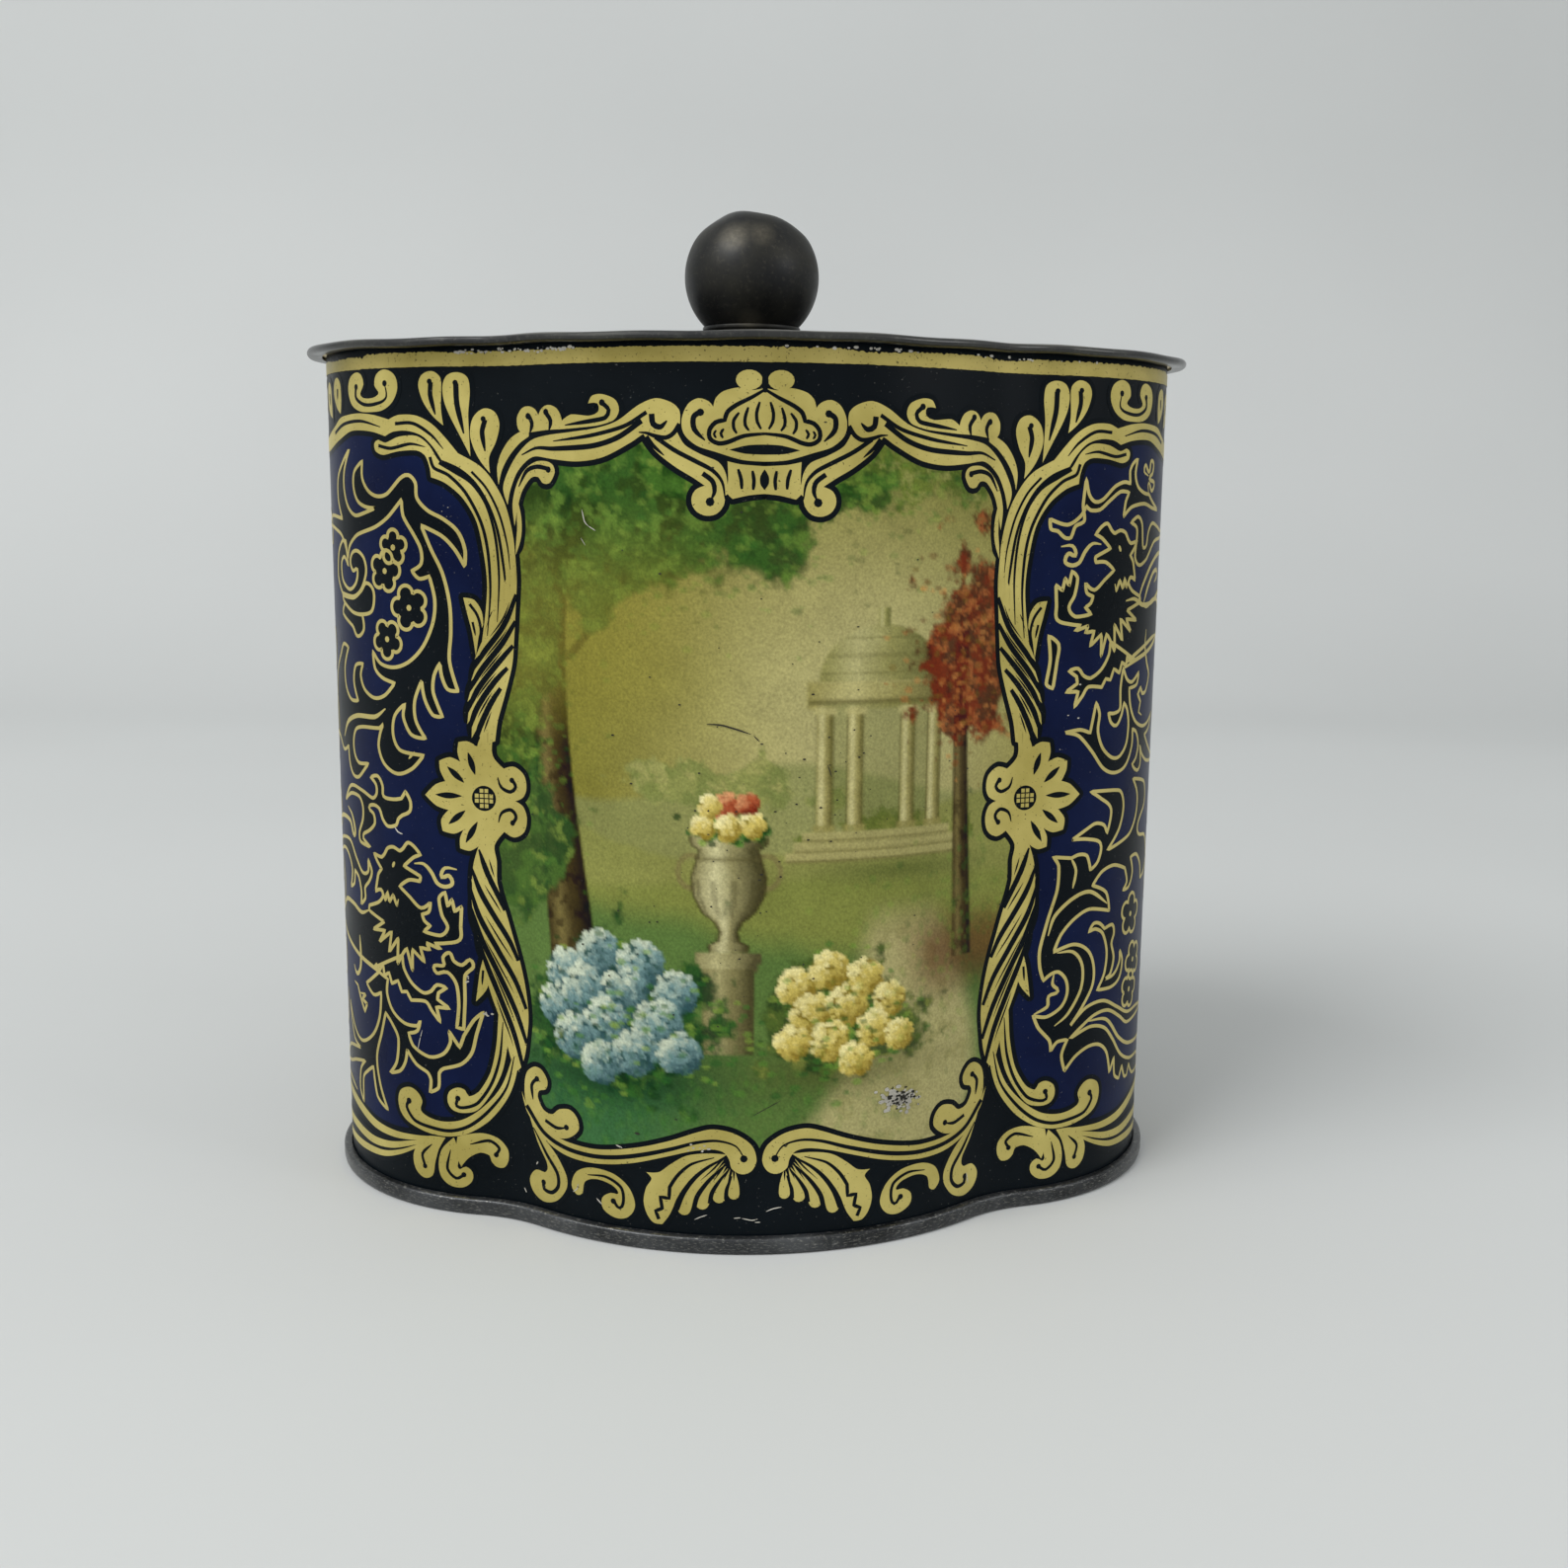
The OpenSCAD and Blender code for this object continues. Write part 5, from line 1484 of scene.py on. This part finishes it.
print("a bar of 20 by 40 mm covers", round(float(bar(0, 60, 10, 20).mean()), 3), "of the canvas")

# %% Dabs, leaves and stone


def dabs(places, sizes, colours, strength=0.75, squash=0.7):
    """Soft oval dabs of paint, squash times as tall as wide, each mixed into the small window
    of the canvas that it touches."""
    for (s, z), size, colour in zip(places, sizes, colours):
        row, col = int((canvas_z[0] - z) / CANVAS_STEP), int((s - canvas_s[0]) / CANVAS_STEP)
        reach = int(1.3 * size * max(1, squash) / CANVAS_STEP) + 2
        near = np.s_[max(row - reach, 0):max(row + reach, 0), max(col - reach, 0):max(col + reach, 0)]
        d = np.hypot(S[near] - s, (Z[near] - z) / squash) / size
        m = strength * smooth(1.15 - d, 0, 0.45)[..., None]
        canvas[near] = canvas[near] * (1 - m) + rgb(colour) * m


def strew(count, middle, spread, sizes, tones, strength, squash=0.7):
    """Dabs strewn round a middle, thinning outward. Their sizes lie between two limits and
    each takes one of the tones."""
    places = brush.normal(middle, spread, (count, 2))
    dabs(places, brush.uniform(*sizes, count), brush.choice(tones, count), strength, squash)


def foliage(region, size, seed, dark, mid, light, edge=0.5):
    """Leaves in clumps. The clumps' ragged edge is where the region plus soft noise passes
    the edge value, and finer noise lays mid and light greens over the dark."""
    mass = smooth(region + 1.1 * (cloud(size, seed, 5) - 0.5), edge - 0.08, edge + 0.1)
    wash(mass * 0.9, dark)
    wash(mass * smooth(cloud(size * 0.5, seed + 1, 5), 0.42, 0.6) * 0.8, mid)
    wash(mass * smooth(cloud(size * 0.28, seed + 2, 4), 0.52, 0.7) * 0.7, light)


def blend(tone, dark, mid, light):
    """Colours for tones from 0 to 1: dark to mid over the first half, mid to light after."""
    tone = np.asarray(tone)[..., None]
    low, high = np.clip(2 * tone, 0, 1), np.clip(2 * tone - 1, 0, 1)
    return (rgb(dark) * (1 - low) + rgb(mid) * low) * (1 - high) + rgb(light) * high


def turned_stone(mask, middle, half, dark, mid, light):
    """Paints a round thing of stone. Across it u runs from -1 to 1, and the tone is
    0.9 - 0.75 |u + 0.4|, brightest left of the middle, with a little noise."""
    u = np.clip((S - middle) / np.maximum(half, 0.1), -1, 1)
    tone = np.clip(0.9 - 0.75 * np.abs(u + 0.4) + 0.25 * (cloud(3, 77) - 0.5), 0, 1)
    wash(mask, blend(tone, dark, mid, light))


print("half-way tone:", blend(0.5, "#000000", "#808080", "#ffffff").round(3))

# %% Sky and distance
haze = cloud(30, 1)
canvas[:] = rgb("#7d7a3a")
wash(smooth(S + 10 * haze, -22, 18) * 0.8, "#9a945c")
wash(mound(15, 76, 22, 26) * (0.75 + 0.4 * haze), "#b3ad82")
wash(smooth(Z + 14 * haze, 100, 122) * 0.6, "#6a7036")
hill = 67 + 3 * np.sin(S / 9 + 1) + 2.5 * haze
wash(smooth(hill - Z, 0, 1.6) * 0.75, "#858a5c")
foliage(mound(-6, 67, 20, 5), 5, 11, "#76804c", "#8a8e58", "#9d9b66", 0.6)
near_hill = 60 + 4 * np.sin(S / 13 - 1.1) + 3 * cloud(14, 2)
wash(smooth(near_hill - Z, 0, 1.2) * 0.8, "#878a50")
foliage(mound(22, 60, 16, 4), 4, 15, "#55642f", "#6b763a", "#878a4c", 0.6)
wash(smooth(53 + 3 * cloud(18, 3) - Z, 0, 2.5) * 0.85, "#7b8347")
wash(smooth(47 + 4 * cloud(16, 4) - 0.12 * S - Z, 0, 6), "#5c7643")
print("distance painted,", round(float(canvas.mean()), 3), "on average")

# %% Path and shaded ground
path_middle = 9 + 0.5 * (Z - 14) + 9 * np.sin(Z / 13)
path_width = 17 - 0.26 * (Z - 14)
on_path = smooth(path_width - np.abs(S - path_middle), 0, 5) * smooth(52 - Z, 0, 8)
wash(on_path * (0.75 + 0.3 * haze), "#b3aa80")
wash(on_path * smooth(cloud(2.2, 25, 3), 0.5, 0.75) * 0.35, "#7b7a4a")
wash(smooth(-S - 4 + 12 * haze, 0, 22) * smooth(36 - Z, 0, 14) * 0.85, "#3b6846")
wash(smooth(S - 20 + 5 * haze, 0, 10) * smooth(1 - np.abs(Z - 42) / 9, 0, 0.9) * 0.75, "#5f3b27")
print("path covers", round(float(on_path.mean()), 3), "of the canvas")

# %% A garden temple
turned_stone(bar(17, 79.8, 11, 1.9, 0.4) * 0.9, 17, 11, "#6d6940", "#9a935f", "#c0b98a")
dome = smooth(1 - np.hypot((S - 17) / 9.6, (Z - 81.6) / 8), 0, 0.06) * (Z > 81.6)
turned_stone(dome * 0.9, 17, 9.6, "#63663c", "#8f8d5b", "#bdb88c")
wash(dome * smooth(np.sin(Z * 2.6), 0.6, 1) * 0.3, "#5c5c36")
turned_stone(bar(17, 90.4, 0.9, 1.3, 0.3), 17, 1, "#63663c", "#8f8d5b", "#bdb88c")
wash(bar(17, 78.9, 10.8, 0.35, 0.2) * 0.7, "#5f5c38")
wash(bar(17, 70, 8.6, 8.6) * 0.4, "#5f6a38")
for column in (8.6, 13, 21, 25.4):
    turned_stone(bar(column, 69.6, 1.1, 8.6, 0.25), column, 1.2, "#666239", "#9c9564", "#cdc79c")
    wash(bar(column, 69.6, 1.3, 8.4, 0.15) * smooth(np.abs(S - column) - 0.95, 0, 0.2) * 0.5, "#55502f")
    wash(bar(column, 77.6, 1.6, 0.5, 0.2) * 0.8, "#b7b07f")
    wash(bar(column, 61.4, 1.6, 0.5, 0.2) * 0.8, "#8f8956")
for step, half in ((60.2, 11.4), (58.8, 12.6), (57.4, 13.8)):
    wash(bar(17, step, half, 0.7, 0.25) * 0.9, "#a59e70")
    wash(bar(17, step - 0.6, half, 0.22, 0.2) * 0.7, "#6a663e")
wash(mound(20, 55, 13, 1.6) * 0.6, "#4b5a2c")
print("the dome covers", round(float(dome.mean()), 3), "of the canvas")

# %% Trees
greens = ["#2f5b2e", "#3f6d33", "#55803a", "#6d8f41", "#243f22", "#7f9a48"]
bark = cloud(1.6, 19, 3)
for lean, foot_s, low_z, high_z, girth in ((2.2, -29, 30, 108, 2.0), (0.8, 31, 41, 88, 1.1)):
    stem = foot_s + lean * np.sin(Z / 17)
    reach = girth + 0.03 * np.abs(Z - high_z) * girth / 2
    trunk = smooth(reach - np.abs(S - stem), -0.3, 0.3) * (Z > low_z) * (Z < high_z)
    turned_stone(trunk * 0.95, stem, reach, "#241e14", "#463c26", "#7d7148")
    wash(trunk * smooth(bark, 0.55, 0.7) * 0.5, "#1e1a12")
for start, slope, rise in ((-28, 0.85, 84), (-29, -0.9, 90), (-28, 0.5, 96)):
    branch = np.abs(S - start - slope * (Z - rise)) - 0.9 + 0.03 * (Z - rise)
    wash(smooth(-branch, -0.3, 0.4) * (Z > rise) * (Z < rise + 22) * 0.8, "#3a311f")
foliage(mound(-24, 107, 30, 16), 9, 31, "#24401f", "#3c5f2d", "#64833d", 0.42)
foliage(mound(-39, 80, 10, 24), 7, 37, "#2c4322", "#4a6530", "#74883f", 0.45)
foliage(mound(2, 114, 26, 10), 6, 43, "#2c4a22", "#4a6e31", "#758c42", 0.42)
foliage(mound(26, 113, 18, 8), 5, 45, "#52662e", "#6e7c3b", "#92935a")
foliage(mound(-36, 58, 9, 10), 6, 47, "#34502c", "#4f6d36", "#748944")
strew(420, (-16, 99), (15, 5), (0.3, 0.8), greens, 0.28)
strew(240, (14, 108), (14, 3), (0.3, 0.8), greens, 0.28)
strew(260, (-34, 78), (5, 14), (0.3, 0.8), greens, 0.28)
wash(smooth(108 - Z, 0, 18) * smooth(Z - 70, 0, 12) * smooth(-S, 0, 18) * 0.42, "#8d8740")
foliage(mound(31, 86, 10, 15), 4.5, 53, "#4a2015", "#7a3822", "#a8683f", 0.5)
russets = ["#5c2818", "#8a4426", "#b0703f", "#c48a52", "#6f5a2a"]
strew(320, (31, 86), (5, 7.5), (0.3, 0.8), russets, 0.4)
print("trees painted in", len(greens) + len(russets), "tones")

# %% A stone vase
# Height and half width, from the foot up
VASE = [(44, 2.6), (45, 2.8), (45.7, 1.5), (47, 1.2), (48.3, 1.9), (49.6, 3.6),
        (52, 4.9), (54.6, 5.2), (56.6, 4.6), (58.4, 4.1), (59.2, 5.2), (60.4, 5.4)]
vase_z, vase_half = np.array(VASE).T
vase_middle = -4.5
half = np.interp(Z, vase_z, vase_half)
vase_band = bar(vase_middle, 52.2, 9, 8.2, 0.15)
in_vase = smooth(half - np.abs(S - vase_middle), -0.2, 0.2) * vase_band
for side in (-1, 1):
    ring = np.hypot((S - vase_middle - side * 5.2) / 1.9, (Z - 55.4) / 2.3)
    wash(smooth(0.26 - np.abs(ring - 1), 0, 0.15) * (side * (S - vase_middle) > 4.4) * 0.9, "#7d774f")
turned_stone(in_vase, vase_middle, half, "#4e4c33", "#8f8a66", "#d2cda9")
flute = np.sin(11 * np.arcsin(np.clip((S - vase_middle) / np.maximum(half, 0.1), -1, 1)))
wash(in_vase * bar(vase_middle, 51.6, 9, 2.6) * smooth(flute, 0.1, 0.9) * 0.45, "#4e4c33")
wash(in_vase * smooth(0.3 - np.abs(Z - 57.2), -0.15, 0.15) * 0.6, "#5c583a")
vase_rim = smooth(0.22 - np.abs(half - np.abs(S - vase_middle)), -0.15, 0.1)
wash(vase_band * vase_rim * 0.6, "#3d3824")
for level, wide in ((43.2, 4.6), (42, 4.1)):
    slab = bar(vase_middle, level, wide, 0.8, 0.2)
    turned_stone(slab, vase_middle, wide, "#56533a", "#8f8a66", "#bdb78f")
plinth = bar(vase_middle, 35.5, 3.6, 6.2, 0.2)
turned_stone(plinth, vase_middle, 3.8, "#4e4c33", "#7f7a56", "#aaa47c")
print("the vase is", vase_z[-1] - vase_z[0], "mm tall")

# %% Flower heads


def flower_head(s, z, radius, count, dark, mid, light):
    """A round head of petals, laid from its rim inward: each petal's distance is the radius
    times the square root of a random number, which strews them evenly, and its tone runs
    from dark at the lower right to light at the upper left."""
    far = radius * np.sqrt(np.sort(brush.random(count))[::-1])
    turn = brush.uniform(0, 2 * math.pi, count)
    x, z_off = far * np.cos(turn), far * np.sin(turn)
    tone = 0.5 + 0.5 * (z_off - 0.7 * x) / radius + brush.normal(0, 0.14, count)
    wash(0.85 * smooth(1.08 - np.hypot(S - s, Z - z) / radius, 0, 0.25), dark)
    dabs(np.stack([s + x, z + z_off], axis=1), brush.uniform(0.35, 0.62, count),
         blend(np.clip(tone, 0, 1), dark, mid, light), 0.8, 0.85)


BLUES = ("#38545c", "#71909a", "#c6d0c6")
YELLOWS = ("#8a7733", "#cdbb6a", "#eee4b0")
print("flower heads in", len(BLUES + YELLOWS), "colours")

# %% Flower beds
wash(mound(-20, 25, 17, 4.5) * 0.8, "#1d3723")
wash(mound(11, 26.5, 13, 3.5) * 0.7, "#4f5330")
foliage(mound(-21, 33, 15, 11), 5, 61, "#203c26", "#36592f", "#5d7b3d", 0.4)
strew(260, (-21, 33), (8, 5), (0.5, 1.0), greens, 0.55, 0.6)
for s, z, radius in ((-29, 39.6, 3.2), (-23.5, 42.6, 3.5), (-17, 41.8, 3.4), (-12, 37.8, 3.2),
                     (-25.6, 37.4, 3.6), (-19.6, 37.2, 3.7), (-30.4, 34.4, 3.2), (-14.4, 33.2, 3.6),
                     (-22.4, 32.6, 3.7), (-27.6, 30.2, 3.3), (-17.8, 28.8, 3.4), (-11.4, 29.2, 3.0),
                     (-23.2, 26.8, 3.1)):
    flower_head(s, z, radius, 150, *BLUES)
foliage(mound(11, 33, 13, 9), 5, 67, "#36482a", "#566a35", "#7f8748", 0.42)
strew(200, (11, 33), (6, 4), (0.5, 0.9), greens, 0.55, 0.6)
strew(60, (-21, 35), (7, 5), (0.4, 0.8), greens, 0.6, 0.6)
for s, z, radius in ((5, 39, 2.6), (9.8, 41.2, 2.8), (15, 40, 2.7), (18.8, 36.4, 2.5), (7, 35.2, 2.9),
                     (12.4, 36, 3.0), (16.6, 32.2, 2.7), (4.6, 31, 2.5), (10, 31, 2.9),
                     (13.8, 28, 2.5), (20.6, 31, 2.2)):
    flower_head(s, z, radius, 110, *YELLOWS)
strew(40, (12, 34), (5, 4), (0.4, 0.7), greens, 0.6, 0.6)
print("beds painted,", round(float(canvas.mean()), 3), "on average")

# %% Flowers in the vase, and grass
strew(60, (-4.5, 61), (3, 1), (0.5, 0.9), greens, 0.8, 0.8)
for s, z, radius, warm in ((-8, 61.8, 1.6, False), (-1.4, 62, 1.7, False), (-4.8, 64.4, 1.9, True),
                           (-7.2, 64.6, 1.4, False), (-2, 65, 1.4, True), (-4.6, 61.6, 1.7, False)):
    shades = ("#6b2a1c", "#a4553a", "#d39a74") if warm else ("#8d7a35", "#cdbb6e", "#ece3b6")
    flower_head(s, z, radius, 60, *shades)
strew(900, (-16, 19), (19, 5.5), (0.25, 0.6), greens[:3], 0.16, 1.4)
wash(smooth(cloud(5, 83), 0.55, 0.75) * smooth(26 - Z, 0, 8) * smooth(8 - S, 0, 14) * 0.45, "#2b5638")
strew(260, (30, 44), (8, 7), (0.3, 0.6), greens, 0.2, 1.2)
print("picture painted,", round(float(canvas.mean()), 3), "on average")

# %% Ageing and the picture's outline
aged = cloud(6, 21, 5)[..., None]
canvas = canvas * (0.86 + 0.28 * aged)
canvas = canvas * [1.03, 1.02, 0.84] - [0.017, 0.02, 0.012]
speckle = brush.normal(1, 0.04, (*S.shape, 1))
canvas = np.clip(canvas * speckle, 0.002, 1)
PICTURE_EDGE = flow(
    "0,108.6 -4,108.4 -6.6,106.4 -8.4,107.4 -10,110 -14,113.4 -16.6,114.2 -20,112.8 -26,111.2 "
    "-30,111 -33,110.6 -35.6,108.6 -36.9,105 -37,100 -37.5,95 -38,90 -38.3,86 -39.5,80 "
    "-40.6,76 -41,72 -40.4,69 -37.6,67 -36.6,65 -38,63 -36.6,61 -37.6,59 -41,57 -41.4,53 "
    "-40.4,48.5 -38.8,43.5 -37.4,37 -37,30 -36.8,24.5 -35,23.4 -33.2,22.8 -32.8,21.6! -34.4,20.6 "
    "-34,18.4 -32,17 -30,18 -28,18 -27.4,16.4 -28,13.4! -25,12.2 -20,13 -15,15 -10,17 "
    "-6.5,17.7 -3.5,17.2 -1.5,15.5 0,15")
picture_ring = np.concatenate([PICTURE_EDGE, PICTURE_EDGE[::-1] * [-1, 1]])


def inside(s, z, ring):
    """True where a point lies in a closed ring: a line to the left of it crosses the ring an
    odd number of times."""
    odd = np.zeros(s.shape, bool)
    for (s0, z0), (s1, z1) in zip(ring, np.roll(ring, -1, axis=0)):
        if z0 != z1:
            spans = (z0 > z) != (z1 > z)
            odd ^= spans & (s > s0 + (z - z0) * (s1 - s0) / (z1 - z0))
    return odd


print("the picture's outline has", len(picture_ring), "points")

# %% The picture's mesh


def picture_piece(side, shift):
    """The painted canvas as a film: cells whose middle is in the frame, each point with its
    own colour in the attribute named paint."""
    rows, cols = S.shape
    cells = grid_faces(rows, cols)
    middle = (S[:-1, :-1] + CANVAS_STEP / 2, Z[:-1, :-1] - CANVAS_STEP / 2)
    kept = cells[inside(*middle, picture_ring).reshape(-1)]
    used, faces = np.unique(kept, return_inverse=True)
    points = wall_point(S.reshape(-1)[used] + shift, Z.reshape(-1)[used], 0.02)
    piece = make_object(f"print_picture_{side}", points, faces.reshape(-1, 4).tolist())
    paint = piece.data.color_attributes.new("paint", "FLOAT_COLOR", "POINT")
    colours = np.concatenate([canvas.reshape(-1, 3)[used], np.ones((len(used), 1))], axis=1)
    paint.data.foreach_set("color", colours.astype(np.float32).reshape(-1))
    piece.data.materials.append(picture_ink)
    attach(piece, "box")
    return piece


for side, shift in (("front", 0), ("back", HALF_TURN)):
    picture = picture_piece(side, shift)
    print(picture.name, len(picture.data.polygons), "cells")

# %% [markdown]
# ## Stage, light and camera
# A pale sweep of paper stands behind and under the tin, and soft light comes from a large
# lamp at the upper left and from the whole room. The lamps are set so that a colour comes out
# about as bright as it is written. The paper's own colour makes the background pale.

# %% Paper sweep
# A floor that turns up into a backdrop through a quarter circle, in metres: a line across,
# carried along a path of straight, arc and straight.
rise = arc_points((0.55, 0.35), 0.35, -90, 0, 24)
path = np.concatenate([[(-2.5, 0.0)], rise, [(0.9, 3.0)]])
x = np.linspace(-3, 3, 2)[None, :]
grid = np.stack([x + 0 * path[:, :1], path[:, :1] + 0 * x, path[:, 1:] + 0 * x], axis=-1)
faces = grid_faces(*grid.shape[:2])[:, ::-1].tolist()
paper = make_object("paper_sweep", grid.reshape(-1, 3) / MM, faces, 80)
matt_paper, tree, shader, place = new_finish("matt_paper")
faint = add_node(tree, "ShaderNodeTexNoise",
                 {"Vector": place, "Scale": 1 / (400 * MM), "Detail": 2})
tone = stops(add_node(tree, "ShaderNodeValToRGB", {"Fac": faint.outputs["Fac"]}),
             (0.3, "#c6c8c7"), (0.7, "#cdcfce"))
set_inputs(tree, shader, {"Base Color": tone.outputs["Color"], "Roughness": 0.7,
                          "Specular IOR Level": 0.2})
paper.data.materials.append(matt_paper)
print("paper sweep:", len(paper.data.polygons), "strips")

# %% Lamps and room light


def soft_lamp(name, place, target, width, watts):
    """A square area lamp at a place, turned to face its target, both in metres."""
    lamp = bpy.data.lights.new(name, "AREA")
    lamp.shape = "SQUARE"
    lamp.size = width
    lamp.energy = watts
    holder = bpy.data.objects.new(name, lamp)
    holder.location = place
    way = Vector(target) - Vector(place)
    holder.rotation_euler = way.to_track_quat("-Z", "Y").to_euler()
    bpy.context.scene.collection.objects.link(holder)


MIDDLE = (0, 0, 0.06)
soft_lamp("lamp_upper_left", (-0.9, -0.7, 1.3), MIDDLE, width=0.9, watts=18)
soft_lamp("lamp_right", (1.1, -0.6, 0.7), MIDDLE, width=0.5, watts=2.5)
world = bpy.data.worlds.new("room_light")
bpy.context.scene.world = world
world.use_nodes = True
room = world.node_tree.nodes["Background"]
room.inputs["Color"].default_value = ink("#f2f4f5")
room.inputs["Strength"].default_value = 0.72
print("room light at", room.inputs["Strength"].default_value)

# %% Camera


def camera_frame(place, heading, down, roll):
    """The camera's 4x4 matrix. Forward is the heading tipped down, right is forward x up, and
    up is right x forward; roll then turns right and up about forward."""
    flat = np.array([heading[0], heading[1], 0]) / np.hypot(*heading)
    forward = flat * math.cos(down) + np.array([0, 0, -math.sin(down)])
    right = np.cross(forward, [0, 0, 1])
    right /= np.linalg.norm(right)
    up = np.cross(right, forward)
    right, up = (math.cos(roll) * right + math.sin(roll) * up,
                 math.cos(roll) * up - math.sin(roll) * right)
    matrix = np.eye(4)
    matrix[:3, 0], matrix[:3, 1], matrix[:3, 2] = right, up, -forward
    matrix[:3, 3] = np.array(place) * MM
    return Matrix(matrix.tolist())


CAMERA_PLACE = (-11.1, -271.1, 106.0)
CAMERA_HEADING = (0.0621, 0.998)
CAMERA_DOWN = math.radians(9.58)
CAMERA_ROLL = math.radians(0.56)
lens = bpy.data.cameras.new("camera")
lens.lens = 38.7
lens.sensor_width = 36
camera = bpy.data.objects.new("camera", lens)
camera.matrix_world = camera_frame(CAMERA_PLACE, CAMERA_HEADING, CAMERA_DOWN, CAMERA_ROLL)
bpy.context.scene.collection.objects.link(camera)
bpy.context.scene.camera = camera
bpy.context.scene.view_settings.view_transform = "Standard"
print("camera at", [round(v, 3) for v in camera.matrix_world.translation])
